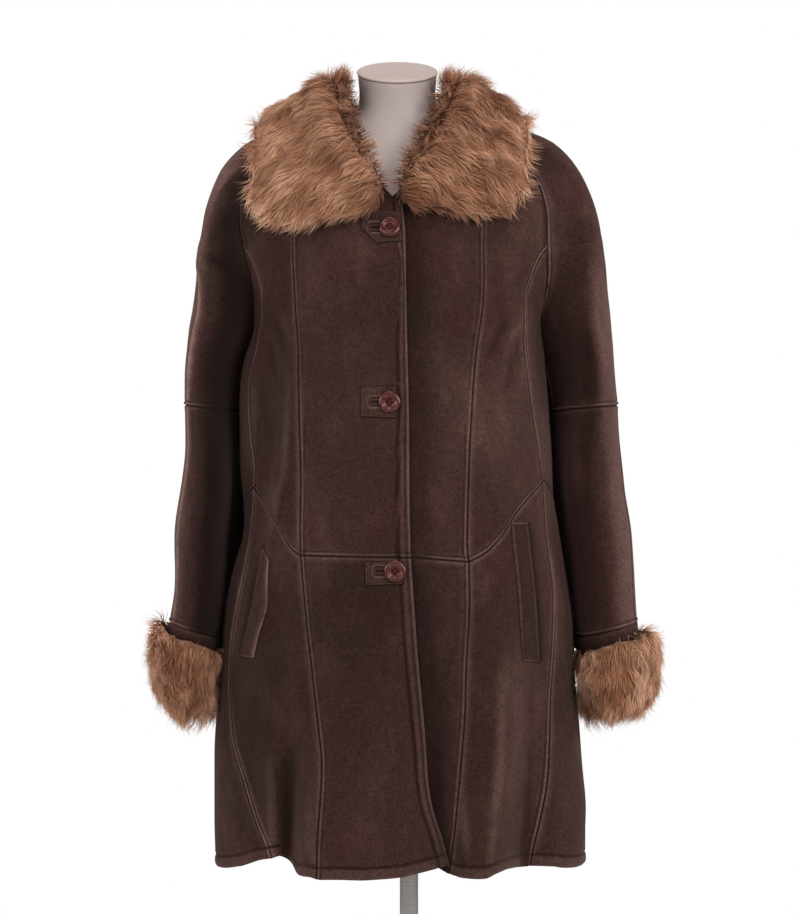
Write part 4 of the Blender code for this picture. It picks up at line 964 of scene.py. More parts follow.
def worn_sleeve(side):
    """A sleeve's surface with its creases."""
    outward = from_sleeve_axis(side)

    def surface(turn, low_z):
        turn, low_z = spread(turn, low_z)
        turn = turn % 1.0
        twist = SEAM_FORWARD.at(low_z, SIDES[side])
        turn = turn - twist * np.sin(math.pi * turn) ** 2
        point = fallen(side, sleeve_point(side, low_z, turn), turn)
        fade = np.where(point[..., 2] > UNDERARM_Z,
                        ramp(np.minimum(turn, 1 - turn) / 0.10), 1.0)
        sink = crease_depth(SLEEVE_CREASES[side], turn * ROUND_SLEEVE, point[..., 2])
        return point - outward(point) * ((sink + slow_waves(point)) * fade)[..., None]
    return surface


print("left elbow as worn:", worn_sleeve(1)(0.5, ELBOW_Z).round(3))

# %% [markdown]
# ## How a seam looks from outside
#
# Two skins are sewn face to face, and the allowance is folded aside and topstitched. So
# one skin rises in a narrow welt that the hand rubs pale and that gets a painted highlight,
# between the seam and the stitched groove, both darkened with painted shade. At the hem and
# the front edge the skin is turned in and stitched down: a soft roll with a groove behind
# it, which gets painted shade. Each profile gives rise, wear with painted highlight, and
# painted shade by the distance from the edge, and its rows tell which distances deserve a
# line of points.

# %% Profiles of the edges
def profile(rows):
    return Table("distance rise wear shade", rows)


# In every profile, shade is painted shade in seams and grooves, and the pale column is wear
# with painted highlight.
PROFILES = {
    "welt": profile("""
        0 -1.2 0 1000; 0.5 -0.7 50 900; 1.1 0.4 600 250; 1.9 1.2 950 0; 3 1.3 950 0;
        4 0.7 550 100; 4.7 -0.1 100 650; 5.4 -0.3 50 600; 6.4 0.1 300 50; 9 0.2 120 0;
        13 0 0 0"""),
    "plain": profile("""
        0 -1.3 0 1000; 0.6 -0.8 50 800; 1.4 0 400 200; 2.4 0.5 600 0; 4.5 0.3 250 0;
        8.5 0 0 0"""),
    "rubbed": profile("""
        0 -0.6 600 600; 0.6 0.2 1300 0; 2 1.1 2300 0; 5 1.3 2300 0; 8.5 0.8 1300 0;
        12.5 0.3 400 0; 18 0 0 0"""),
    "faint": profile("""
        0 -1 0 800; 0.7 -0.5 0 600; 1.6 0.1 120 100; 3 0.3 150 0; 6 0 0 0"""),
    "hem": profile("""
        0 -2.2 250 100; 0.7 -0.8 500 0; 1.8 0.2 450 0; 4 0.8 300 0; 8 0.9 280 0;
        11.2 0.4 250 100; 13.2 -0.6 50 650; 14.2 -0.8 0 800; 15.2 -0.4 0 450;
        17 0.1 100 50; 21 0 0 0"""),
    "front": profile("""
        0 -2 250 150; 0.6 -0.8 750 0; 1.6 0.2 800 0; 3 0.5 400 0; 4.2 0.1 100 300;
        5 -0.2 0 550; 5.8 0.1 150 200; 8.5 0.7 380 0; 11.5 0.4 250 50; 13.2 -0.6 0 850;
        14.6 -0.7 0 900; 16 -0.2 50 300; 18.5 0 50 0"""),
    "soft": profile("""
        0 -1.1 0 800; 0.5 -0.6 50 650; 1.1 0.2 400 150; 1.9 0.8 700 0; 3 0.9 650 0;
        4 0.5 300 150; 4.7 -0.1 50 500; 5.4 -0.3 50 450; 6.4 0.1 180 50; 9 0.2 60 0;
        13 0 0 0"""),
    "ridge": profile("""
        0 -1.2 0 1000; 0.5 -0.7 100 800; 1.1 0.6 1200 150; 1.9 1.5 1900 0; 3 1.6 1800 0;
        4 0.9 900 100; 4.7 -0.1 200 700; 5.4 -0.3 100 650; 6.4 0.2 1200 0; 8 0.5 1100 0;
        10.5 0.2 200 100; 13.5 0 0 0"""),
    "open": profile("0 -1 0 300; 2 0 0 100; 6 0 0 0"),
}
LOOK = ("rise", "wear", "shade")
STITCH_LINES = {"welt": 0.0050, "soft": 0.0050, "ridge": 0.0050, "hem": 0.0142,
                "front": 0.0051}  # distance of the stitches from the edge
SPACING = 0.0078  # between lines of points away from the edges
print({kind: len(table.rows) for kind, table in PROFILES.items()})


# %% Place the lines of points
def lines_between(length, first, last, spacing=SPACING):
    """Shares of a length at which a skin gets a line of points."""
    low = [d for d in PROFILES[first].rows[:, 0] if d < 0.42 * length]
    high = [d for d in PROFILES[last].rows[:, 0] if d < 0.42 * length]
    room = length - low[-1] - high[-1]
    count = max(1, round(room / spacing))
    middle = low[-1] + room * np.arange(1, count) / count
    return np.concatenate((low, middle, length - np.array(high[::-1]))) / length


def patch_grid(edges, across, along):
    """Coordinates inside a patch from its four edges, which are functions that give
    the surface's two coordinates at shares of their length."""
    low, high = edges["low"](across), edges["high"](across)
    start, end = edges["start"](along), edges["end"](along)
    across, along = across[None, :, None], along[:, None, None]
    between_rows = (1 - along) * low[None] + along * high[None]
    between_ends = (1 - across) * start[:, None] + across * end[:, None]
    corners = ((1 - across) * (1 - along) * low[0] + across * (1 - along) * low[-1]
               + (1 - across) * along * high[0] + across * along * high[-1])
    return between_rows + between_ends - corners


def steps_of(line):
    return norm(np.diff(line, axis=0), axis=-1)


def lengths_along(points):
    """Distance of each point from the start of its row."""
    steps = norm(np.diff(points, axis=1), axis=-1)
    return np.concatenate((np.zeros((len(points), 1)), np.cumsum(steps, axis=1)), axis=1)


def bending(surface, grid, normal):
    """How sharply the surface bends outward, as one over a radius in metres."""
    reach, probe = 0.011, 0.01
    u, v = grid[..., 0], grid[..., 1]
    place, total = surface(u, v), np.zeros(grid.shape[:2])
    for du, dv in ((1, 0), (0, 1)):
        length = norm(surface(u + probe * du, v + probe * dv) - place, axis=-1)
        wide = reach * probe / np.maximum(length, 1e-6)
        ahead, behind = (surface(u + way * du, v + way * dv) for way in (wide, -wide))
        total += np.sum(((ahead + behind) / 2 - place) * normal, axis=-1)
    return -2 * total / reach ** 2


print(len(lines_between(0.2, "welt", "plain")), "lines across a skin 0.2 m wide")

# %% [markdown]
# ## Making a skin
#
# Each skin is a closed wall: suede outside and on the rim, wool inside. Its points carry
# the attributes `wear`, for wear and painted highlight, and `shade`, for
# painted shade. The lines for its stitches are noted, with their upward directions.


# %% Helpers for meshes
STITCHES = []  # (points, upward directions) of each stitched line
CUTS = []  # (name, width, length, area) of each skin


def keep_values(mesh, **values):
    """Keep one number for each point of a mesh, under its name."""
    for name, found in values.items():
        layer = mesh.attributes.new(name, "FLOAT", "POINT")
        layer.data.foreach_set("value", np.ascontiguousarray(found, np.float32).ravel())


def keep_vectors(mesh, name, found):
    layer = mesh.attributes.new(name, "FLOAT_VECTOR", "POINT")
    layer.data.foreach_set("vector", found.astype(np.float32).ravel())


def new_mesh(name, points=(), faces=(), edges=()):
    mesh = bpy.data.meshes.new(name)
    mesh.from_pydata(points, edges, faces)
    return mesh


def add_piece(name, mesh, slot, node, *materials):
    """Put a finished mesh into the scene, on the object's only body, for a node."""
    for finish in materials:
        mesh.materials.append(finish)
    piece = into_scene(name, mesh)
    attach(piece, "root")
    if node:
        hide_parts(node)
    return piece


def smooth(mesh, sharp=None):
    """Shade a mesh smooth, but for edges sharper than an angle in degrees."""
    mesh.shade_smooth()
    if sharp:
        mesh.set_sharp_from_angle(angle=math.radians(sharp))
    return mesh


def edited(mesh, change, source=None):
    """A mesh after a change to it as a bmesh, or to the source if one is given."""
    shape = bmesh.new()
    shape.from_mesh(source or mesh)
    change(shape)
    shape.to_mesh(mesh)
    shape.free()
    return mesh


print("helpers for meshes, and", len(STITCHES), "stitched lines so far")


# %% Walls of suede and wool
def wall_mesh(name, outer, inner, wear, shade):
    """A closed wall between two grids."""
    rows, columns = outer.shape[:2]
    points = np.concatenate((outer.reshape(-1, 3), inner.reshape(-1, 3))) + TO_COAT
    under = rows * columns
    index = np.arange(under).reshape(rows, columns)
    front = quads(index)
    rim = np.concatenate((index[0, :-1], index[:-1, -1], index[-1, :0:-1],
                          index[:0:-1, 0]))
    after = np.roll(rim, -1)
    sides = np.stack((after, rim, rim + under, after + under), -1)
    faces = np.concatenate((front, sides, front[:, ::-1] + under))
    row, column = rows // 2, columns // 2
    middle = outer[row, column]
    turn = np.cross(outer[row, column + 1] - middle, outer[row + 1, column] - middle)
    if turn @ (middle - inner[row, column]) < 0:
        faces = faces[:, ::-1]
    mesh = new_mesh(name, points.tolist(), faces.tolist())
    within = np.arange(len(faces), dtype=np.int32) >= len(front) + len(sides)
    mesh.polygons.foreach_set("material_index", within.astype(np.int32))
    keep_values(mesh, wear=np.append(wear, wear * 0), shade=np.append(shade, shade * 0))
    return smooth(mesh, 50)


def with_edge(look, table, distance):
    """Rise, wear and shade with those of an edge's profile over them."""
    rise, wear, shade = (table.at(distance, part) for part in LOOK)
    return look[0] + rise, np.maximum(look[1], wear), np.maximum(look[2], shade)


def quads(index):
    """Faces between neighbours in a grid of indices."""
    return np.stack((index[:-1, :-1], index[:-1, 1:], index[1:, 1:], index[1:, :-1]),
                    -1).reshape(-1, 4)


def patch_area(points):
    """Area of a grid of points."""
    across, along_way = np.diff(points, axis=1)[:-1], np.diff(points, axis=0)[:, :-1]
    return float(norm(np.cross(across, along_way), axis=-1).sum())


def note_stitches(points, normals, lengths, distance):
    """Note the line at a distance from the start of each row."""
    rows = [row for row in range(len(points)) if lengths[row, -1] > 2.5 * distance]
    if len(rows) >= 3:
        line, up = (np.array([[np.interp(distance, lengths[row], values[row, :, k])
                               for k in range(3)] for row in rows])
                    for values in (points, normals))
        STITCHES.append((line + TO_COAT, unit(up)))


print(len(quads(np.arange(12).reshape(3, 4))), "faces between 3 rows of 4 points")

# %% Make one skin
FINE = {"front_right_side_upper": 0.0050, "front_right_side_lower": 0.0045,
        "front_left_side_lower": 0.0050}


def make_skin(node, surface, edges, kinds, outward, blend_side=0):
    """One cut piece of the coat.  kinds names the profile at each edge."""
    coarse = on(surface, patch_grid(edges, *[np.linspace(0, 1, 9)] * 2))
    width = lengths_along(coarse)[:, -1]
    length = lengths_along(coarse.transpose(1, 0, 2))[:, -1]
    spacing = FINE.get(node, SPACING)
    across = lines_between(np.mean(width), kinds["start"], kinds["end"], spacing)
    along_way = lines_between(np.mean(length), kinds["low"], kinds["high"], spacing)
    grid = patch_grid(edges, across, along_way)
    base = on(surface, grid)
    normal = normals_of(surface, grid, outward)
    from_start, from_low = lengths_along(base), lengths_along(base.transpose(1, 0, 2)).T
    if blend_side:
        normal = meet_body(normal, grid, from_start, blend_side)
    distances = {"start": from_start, "end": from_start[:, -1:] - from_start,
                 "low": from_low, "high": from_low[-1:] - from_low}
    bend = bending(surface, grid, normal)
    # Convex ridges are rubbed pale and get a painted highlight; hollows get painted shade.
    ridge_wear_and_light = 0.15 if node.startswith("sleeve") else 0.50
    wear = ridge_wear_and_light * ramp((bend - 14.0) / 60.0)
    shade = 0.55 * ramp((-bend - 6.0) / 50.0)
    # Painted shade, and painted light where below 0, of the soft areas, arms, underlap and
    # pocket mouths.
    nap = painted_shade_and_light(base, node)
    shade, wear = shade + np.maximum(nap, 0.0), wear - np.minimum(nap, 0.0)
    rise = np.zeros(grid.shape[:2])
    for edge, kind in kinds.items():
        look = with_edge((rise, wear, shade), PROFILES[kind], distances[edge])
        rise, wear, shade = look
    shade = np.clip(shade, 0.0, 1.0)
    wear = wear * (1 - shade)
    outer = base + normal * rise[..., None]
    inner = base - normal * WALL
    for edge in ("start", "end", "low", "high"):
        parts = outer, normal, distances[edge]
        if edge in ("low", "high"):
            parts = [part.swapaxes(0, 1) for part in parts]
        if edge in ("end", "high"):
            parts = [part[:, ::-1] for part in parts]
        if kinds[edge] in STITCH_LINES:
            note_stitches(*parts, STITCH_LINES[kinds[edge]])
    piece = add_piece("skin_" + node, wall_mesh(node, outer, inner, wear, shade),
                      "suede", node, SUEDE, wool.material)
    cut = (float(np.max(width)), float(np.max(length)))
    min(patch_area(base), cut[0] * cut[1])
    CUTS.append((node, *cut, patch_area(base)))


def meet_body(normal, grid, from_start, side):
    """Turn a sleeve's normals into the body's near the raglan seams."""
    for column, rear, distance in ((0, False, from_start),
                                   (-1, True, from_start[:, -1:] - from_start)):
        if grid[0, column, 0] != (1.0 if rear else 0.0):
            continue
        low_z = grid[:, column, 1]
        body = normals_of(worn_body(side, rear), joined(1.0, low_z), from_body_axis)
        body = body[:, None]
        pinch = SLEEVE.at(low_z, "pinch")[:, None]
        share = (1 - pinch) * ramp(1 - distance / 0.012)
        normal = unit(normal * (1 - share[..., None]) + body * share[..., None])
    return normal


print(len(FINE), "skins get finer lines")

# %% [markdown]
# ## Cutting the fronts and the back
#
# From the front edge to the side there are a centre piece, a side-front piece and one
# under the arm, each cut at the waist. Only a piece's four edges are described, from
# tables of the seams' distances from the coat's middle, and the inside is filled between
# them.

# %% Edges as functions of a share
WAIST_ROWS, RING_ROWS = 12, (5, 5, 2)  # rows of the solids


def spaced(heights):
    """The height at a share of an edge, with the spacing of the solids' rows."""
    places = np.linspace(0, 1, len(heights))
    return lambda share: np.interp(share, places, heights)


def seam(side, table, heights, column=None, reach=0.0):
    """An edge along a seam's table; it ends on the raglan seam if it gets there."""
    def edge(share):
        z = heights(share)
        x = table.at(z, column or SIDES[side]) - reach
        around = share_at(side, x, z)
        top = z > (PRINCESS_TOP_Z if table is PRINCESS else BRANCH_Z) - 1e-6
        return joined(np.where(top & (table is not FRONT_EDGE), 1.0, around), z)
    return edge


def level(first, last, rise=None):
    """An edge across a piece, between two (share, height) ends."""
    def edge(share):
        lift = share if rise is None else rise.at(share, "rise")
        return joined(first[0] + (last[0] - first[0]) * share,
                     first[1] + (last[1] - first[1]) * lift)
    return edge


def ring_heights():
    """Heights of the rings on the raglan seam: its side, front and neck stretches."""
    side, front, neck = RING_ROWS
    return (evenly(UNDERARM_Z, BRANCH_Z, side), evenly(BRANCH_Z, PRINCESS_TOP_Z, front),
            evenly(PRINCESS_TOP_Z, NECK_SIDE_Z, neck))


print([len(heights) - 1 for heights in ring_heights()], "rows along the raglan seam")


# %% Sew the body
def make_front(side):
    """The six skins of one front."""
    name = SIDES[side]
    waist, hem = WAIST[name], HEM[name]
    reach = LAP_REACH if side > 0 else 0.0
    tops = (NECK_FRONT_Z, PRINCESS_TOP_Z, BRANCH_Z, UNDERARM_Z)

    def edge_of(number, low, high):
        heights = high if callable(high) else (lambda share: low + (high - low) * share)
        if number == 0:
            return seam(side, FRONT_EDGE, heights, "x", reach)
        if number == 3:
            return lambda share: joined(1.0, heights(share))
        return seam(side, (PRINCESS, SIDE_FRONT)[number - 1], heights)

    def neck(share):
        z = NECK_FRONT_Z + (NECK_SIDE_Z - NECK_FRONT_Z) * share ** NECK_EASE
        first = FRONT_EDGE.at(NECK_FRONT_Z, "x") - reach
        x = first + (side * RAGLAN.at(NECK_SIDE_Z, name) - first) * share
        return joined(np.where(share == 1, 1.0, share_at(side, x, z)), z)

    to_neck = spaced(np.concatenate((evenly(waist[1], PRINCESS_TOP_Z, WAIST_ROWS),
                                     ring_heights()[-1][1:])))
    across_tops = (neck, level((1.0, PRINCESS_TOP_Z), (1.0, BRANCH_Z)),
                   level((1.0, BRANCH_Z), (1.0, UNDERARM_Z)))
    labels = (f"front_{name}_centre", f"front_{name}_side", f"underarm_{name}")
    for i, label in enumerate(labels):
        start = edge_of(i, waist[i], tops[i])
        end = edge_of(i + 1, waist[i + 1], to_neck if i == 0 else tops[i + 1])
        low_start = edge_of(i, hem[i], waist[i])
        low_end = edge_of(i + 1, hem[i + 1], waist[i + 1])
        ends = [edge(np.array((0.0, 1.0))) for edge in (start, end, low_start, low_end)]
        waist_line = level(ends[0][0], ends[1][0], WAIST_RISE if i == 1 else None)
        hem_line = level(ends[2][0], ends[3][0])
        first = "plain" if i else "front"
        last = ("soft", "ridge" if side < 0 else "welt", "plain")[i]
        make_skin(label + "_upper", worn_body(side),
                  dict(low=waist_line, high=across_tops[i], start=start, end=end),
                  dict(low="soft", high="open" if i == 0 else "plain", start=first,
                       end=last if i != 1 else "welt"), from_body_axis)
        make_skin(label + "_lower", worn_body(side),
                  dict(low=hem_line, high=waist_line, start=low_start, end=low_end),
                  dict(low="hem", high="plain", start=first, end=last), from_body_axis)


def make_back(side):
    """The upper and lower skin of one half of the back."""
    name = SIDES[side]
    waist, hem = WAIST[name][3:], HEM[name][3:]
    side_z = spaced(np.concatenate([evenly(waist[0], UNDERARM_Z, WAIST_ROWS)]
                                   + [ring[1:] for ring in ring_heights()]))
    waist_line = level((0.0, waist[1]), (1.0, waist[0]))
    middle = "welt" if side < 0 else "plain"
    make_skin(f"back_{name}_upper", worn_body(side, True),
              dict(low=waist_line, high=level((0.0, NECK_BACK_Z), (1.0, NECK_SIDE_Z)),
                   start=level((0.0, waist[1]), (0.0, NECK_BACK_Z)),
                   end=lambda share: joined(1.0, side_z(share))),
              dict(low="welt", high="open", start=middle, end="welt"), from_body_axis)
    make_skin(f"back_{name}_lower", worn_body(side, True),
              dict(low=level((0.0, hem[1]), (1.0, hem[0])), high=waist_line,
                   start=level((0.0, hem[1]), (0.0, waist[1])),
                   end=level((1.0, hem[0]), (1.0, waist[0]))),
              dict(low="hem", high="plain", start=middle, end="welt"), from_body_axis)


for side in SIDES:
    make_front(side)
    make_back(side)
print(f"{len(CUTS)} skins of the body")

# %% [markdown]
# ## Cutting the sleeves
#
# A raglan sleeve runs up to the neck. Its front and back halves meet along the outer arm,
# and both are pieced at the elbow, because a skin isn't long enough for a whole sleeve.

# %% Make the sleeves
def make_sleeve(side):
    """The four skins of one sleeve."""
    rows = {"lower": evenly(CUFF_SEAM_Z, ELBOW_Z, 8),
            "upper": np.concatenate([evenly(ELBOW_Z, UNDERARM_Z, 3)]
                                    + [ring[1:] for ring in ring_heights()])}
    for part, heights in rows.items():
        height = spaced(heights)
        for half, first in (("front", 0.0), ("back", 0.5)):
            raglan = "welt" if part == "upper" else "plain"
            if (side, part, half) == (-1, "upper", "front"):
                raglan = "faint"
            outer = "rubbed" if side < 0 else "welt"
            edges = dict(
                low=level((first, heights[0]), (first + 0.5, heights[0])),
                high=level((first, heights[-1]), (first + 0.5, heights[-1])),
                start=lambda share, turn=first: joined(turn, height(share)),
                end=lambda share, turn=first: joined(turn + 0.5, height(share)))
            kinds = dict(low="welt", high="open" if part == "upper" else "plain",
                         start=raglan if half == "front" else "plain",
                         end=outer if half == "front" else raglan)
            make_skin(f"sleeve_{SIDES[side]}_{half}_{part}", worn_sleeve(side), edges,
                      kinds, from_sleeve_axis(side), side)


for side in SIDES:
    make_sleeve(side)
for name, width, length, area in CUTS:
    print(f"{name}: {width * 1000:.0f} x {length * 1000:.0f} mm, {area * 10000:.0f} cm2")
print(f"{sum(cut[3] for cut in CUTS):.2f} m2 of skin, {len(STITCHES)} stitched lines")

# %% [markdown]
# ## Cuff bands
#
# Below the cuff seam the sleeve ends in a narrow band of darker suede that carries the
# fur cuff: a fine ring round the sleeve's own surface.

# %% Make the cuff bands
BAND_TURNS = 120
BAND_SECTION = Table("share height out wear", """
    0 0 0 0; 100 550 0.2 0; 200 800 0.2 50; 300 930 0.1 300; 360 980 -0.6 200;
    420 1000 -1.6 0; 500 1000 -4.5 0; 1000 0 -4.5 0""")


def ring_points(side, heights, turns, offset):
    """Rings round a sleeve, moved out from its surface by offset."""
    low_z = heights[:, None]
    start, far_side, points, ahead, behind = (sleeve_point(side, low_z, turn) for turn in (
        0.0, 0.5, turns[None, :], turns[None, :] + 0.01, turns[None, :] - 0.01))
    middle = (start + far_side) / 2
    normal = unit(np.cross(ahead - behind, (0.0, 0.0, 1.0)))
    return points + normal * np.sign(dot(normal, points - middle)) * offset


def ring_mesh(name, rings):
    """A solid ring: rows go round its section, columns round the arm."""
    rows, columns = rings.shape[:2]
    index = np.arange(rows * columns).reshape(rows, columns)
    after, beside = np.roll(index, -1, axis=0), np.roll(index, -1, axis=1)
    faces = np.stack((index, beside, np.roll(beside, -1, axis=0), after), -1)
    mesh = new_mesh(name, (rings.reshape(-1, 3) + TO_COAT).tolist(),
                    faces.reshape(-1, 4).tolist())
    return smooth(edited(mesh, lambda shape: bmesh.ops.recalc_face_normals(
        shape, faces=shape.faces)))


for side in SIDES:
    node = f"cuff_band_{SIDES[side]}"
    turns = np.linspace(0, 1, BAND_TURNS, endpoint=False)
    section = BAND_SECTION.rows
    tall = CUFF_SEAM_Z - SEAM_GAP - CUFF_BAND_Z
    rings = ring_points(side, CUFF_BAND_Z + tall * section[:, 1], turns,
                        section[:, 2][:, None, None])
    rings = fallen(side, rings, np.broadcast_to(turns, rings.shape[:2]))
    mesh = ring_mesh(node, rings)
    # The band's lower part, under the fur, gets painted shade.
    keep_values(mesh, wear=np.repeat(section[:, 3], BAND_TURNS),
                shade=np.repeat(0.25 * (section[:, 1] < 0.7), BAND_TURNS))
    band = add_piece("skin_" + node, mesh, "suede trim", node, TRIM)
    round_it = float(steps_of(rings[1]).sum())
    print(f"{node}: {round_it * 1000:.0f} x {tall * 1000:.0f} mm")

# %% [markdown]
# ## Geometry Nodes
#
# Stitches and hairs are one small shape, repeated along lines or over a surface. A
# Geometry Nodes tree does that with named inputs for its sizes, and the evaluated object
# gives a plain mesh.


# %% Build and run trees of Geometry Nodes
class Recipe(NodeMaker):
    """A Geometry Nodes tree from one geometry to another."""

    def __init__(self, name, **inputs):
        tree = bpy.data.node_groups.new(name, "GeometryNodeTree")
        super().__init__(tree)
        for label, kind in {"Geometry": "Geometry", **inputs}.items():
            tree.interface.new_socket(label, in_out="INPUT",
                                      socket_type="NodeSocket" + kind)
        tree.interface.new_socket("Geometry", in_out="OUTPUT",
                                  socket_type="NodeSocketGeometry")
        entry = tree.nodes.new("NodeGroupInput")
        self.given = {socket.name: Value(self, socket) for socket in entry.outputs
                      if socket.name}

    def random(self, low, high, kind="FLOAT"):
        """A seeded random number, or a vector of them, for each element."""
        at = 2 if kind == "FLOAT" else 0
        return self.node("FunctionNodeRandomValue", {"data_type": kind},
                         {at: low, at + 1: high, "Seed": self.given["Seed"]},
                         output=1 if kind == "FLOAT" else 0)

    def turned(self, rotation, axis, vector, pivot="AUTO"):
        return self.node("FunctionNodeAlignRotationToVector",
                         {"axis": axis, "pivot_axis": pivot},
                         {"Rotation": rotation, "Vector": vector} if rotation
                         else {"Vector": vector})

    def finish(self, instances, material):
        real = self.node("GeometryNodeRealizeInstances", {}, {"Geometry": instances})
        dressed = self.node("GeometryNodeSetMaterial", {},
                            {"Geometry": real, "Material": material})
        end = self.tree.nodes.new("NodeGroupOutput")
        self.tree.links.new(dressed.socket, end.inputs[0])

    def grow(self, base, **sizes):
        """Run the tree on a base object, which goes, and give a plain mesh."""
        modifier = base.modifiers.new("grow", "NODES")
        modifier.node_group = self.tree
        for item in self.tree.interface.items_tree:
            if item.in_out == "INPUT" and item.name in sizes:
                modifier[item.identifier] = sizes[item.name]
        return evaluated(base)


def evaluated(base):
    """The mesh that a base object has with its modifiers; the object goes."""
    ready = bpy.context.evaluated_depsgraph_get()
    mesh = bpy.data.meshes.new_from_object(base.evaluated_get(ready), depsgraph=ready,
                                           preserve_all_data_layers=True)
    bpy.data.objects.remove(base)
    return mesh


def hidden_shape(name, points, faces):
    """A small shape to repeat, kept out of the scene."""
    return bpy.data.objects.new(name, smooth(new_mesh(name, points, faces)))


print("trees get their inputs by name")

# %% [markdown]
# ## Stitches
#
# The welts, the hem and the front edge are topstitched with a thick waxed thread. A stitch
# is a bead, fat in the middle, that dips into the skin at both ends. The tree turns each
# noted line into a curve and lays a bead at every step.

# %% Sew the topstitches
STITCH_STEP, STITCH_LONG, STITCH_THICK = 0.0037, 0.0026, 0.00042
STITCH_RINGS = (  # place along the stitch, height in radii, radius
    (-0.5, -0.7, 0.35), (0.0, 0.2, 1.0), (0.5, -0.7, 0.35))
BEAD_CORNERS = [math.radians(angle) for angle in (90, 210, 330)]


def tube_faces(rings):
    """Faces between rings of three corners."""
    return [(3 * ring + k, 3 * ring + (k + 1) % 3, 3 * ring + 3 + (k + 1) % 3,
             3 * ring + 3 + k) for ring in range(rings - 1) for k in range(3)]


bead_points = [(along * STITCH_LONG, math.cos(angle) * fat * STITCH_THICK,
                (math.sin(angle) * fat * 0.7 + raised) * STITCH_THICK)
               for along, raised, fat in STITCH_RINGS for angle in BEAD_CORNERS]
bead_faces = tube_faces(3) + [(2, 1, 0), (6, 7, 8)]
BEAD = hidden_shape("bead", bead_points, bead_faces)

sewing = Recipe("sewing", Step="Float", Bead="Object")
curve = sewing.node("GeometryNodeMeshToCurve", {}, {"Mesh": sewing.given["Geometry"]})
curve = sewing.node("GeometryNodeResampleCurve", {"mode": "LENGTH"},
                    {"Curve": curve, "Length": sewing.given["Step"]})
tangent = sewing.node("GeometryNodeInputTangent")
upward = sewing.node("GeometryNodeInputNamedAttribute", {"data_type": "FLOAT_VECTOR"},
                     {"Name": "up"})
bead = sewing.node("GeometryNodeObjectInfo", {}, {"Object": sewing.given["Bead"]},
                   output="Geometry")
facing = sewing.turned(sewing.turned(None, "X", tangent), "Z", upward, "X")
sewing.finish(sewing.node("GeometryNodeInstanceOnPoints", {},
                          {"Points": curve, "Instance": bead, "Rotation": facing}),
              thread.material)


def sew(name, lines):
    """Stitches along lines of points, each with its upward directions."""
    points, edges, ups = [], [], []
    for line, up in lines:
        edges += [(len(points) + k, len(points) + k + 1) for k in range(len(line) - 1)]
        points += line.tolist()
        ups.append(up)
    mesh = new_mesh(name, points, edges=edges)
    keep_vectors(mesh, "up", np.concatenate(ups))
    sewn = sewing.grow(into_scene(name + "_guide", mesh), Step=STITCH_STEP, Bead=BEAD)
    add_piece(name, sewn, "suede trim", None)
    print(f"{name}: {len(sewn.polygons) // len(bead_faces)} stitches")


sew("topstitching", STITCHES)

# %% [markdown]
# ## Buttonhole patches and pocket welts
#
# Each buttonhole is bound: a patch of suede is stitched on, and two lips meet in the slot,
# inside stitches that round its end. The pocket mouths are covered by slanted welts with
# turned edges. Both are made on the fronts' surface and lifted off it, with a relief that
# depends on the distance to the border and to the slot.

# %% Sizes of the trims
# The two long sides of each outline, from low to high, in distance and height.
Trim = namedtuple("Trim", "name side outer inner")
PATCHES = (
    Trim("buttonhole_patch_top", -1, numbers("-46 1286; -46 1306"),
         numbers("-29 1268; 2 1270; 1 1306")),
    Trim("buttonhole_patch_middle", -1, numbers("-46.5 1066; -46.5 1102"),
         numbers("-4.5 1064.5; -4.5 1101.5")),
    Trim("buttonhole_patch_low", -1, numbers("-41 871.5; -41 900"),
         numbers("3.5 873.5; 3.5 900")))
WELTS = (
    Trim("pocket_welt_right", -1, POCKET_MOUTHS[-1],
         numbers("-170 786; -156 844; -151 900")),
    Trim("pocket_welt_left", 1, POCKET_MOUTHS[1], numbers("142 783; 128 944")))
Button = namedtuple("Button", "name x z")
BUTTONS = (Button("button_top", -0.0130, 1.2860), Button("button_middle", -0.0126, 1.0835),
           Button("button_low", -0.0065, 0.8888))
TRIM_SPACING, WELT_SPACING = 0.0010, 0.0017
MOUTH_REACH = 0.008  # a welt's profile at the pocket's mouth reaches this far in
SLOT_REACH = 0.0212  # from the button's middle to the slot's end
SLOT_END = 1.6  # how much flatter the slot's end is than a half circle
SLOT_TAPER = 0.22  # how much narrower the slot's lips are at the button
# Painted shadow along a patch's border.
BORDER = profile("""
    0 -0.8 0 1000; 0.8 -0.1 0 800; 1.4 0.1 500 100; 2.2 0 400 0; 3 -0.2 50 500; 4 0 150 0;
    7 0 0 0""")
RIDGE_TRIM = "pocket_welt_right"  # its inner side lies on a ridge, rubbed pale and given painted highlight
SEWN = profile("""
    0 -1.9 400 0; 0.9 -1.2 750 0; 1.8 -0.7 500 0; 2.8 -0.5 0 400; 6 0 0 0""")
# Painted shade in a pocket's mouth.
MOUTH = profile("""
    0 -1.4 0 1000; 4.2 -1 0 1000; 5.2 0.3 250 500; 6.4 0.6 400 100; 8 0.3 100 100;
    9.5 0 0 0""")
# Painted shade in the slot and in the groove round it.
SLOT = profile("""
    0 -1.2 0 1000; 0.6 -0.9 0 1000; 1.2 0.1 150 300; 2.8 0.4 200 100; 4.2 0.1 50 300;
    5 -0.5 0 900; 5.8 0 250 200; 7 0.3 900 0; 8.2 0.1 350 100; 10 0 0 0""")

print(len(PATCHES), "patches,", len(WELTS), "welts,", len(BUTTONS), "buttons")


# %% Lines and places on a front
def sampled(line, count):
    """Points at even lengths along a line of corners."""
    length = np.concatenate(((0.0,), np.cumsum(steps_of(line))))
    at = np.linspace(0, length[-1], count + 1)
    return np.stack([np.interp(at, length, line[:, k]) for k in (0, 1)], axis=-1)


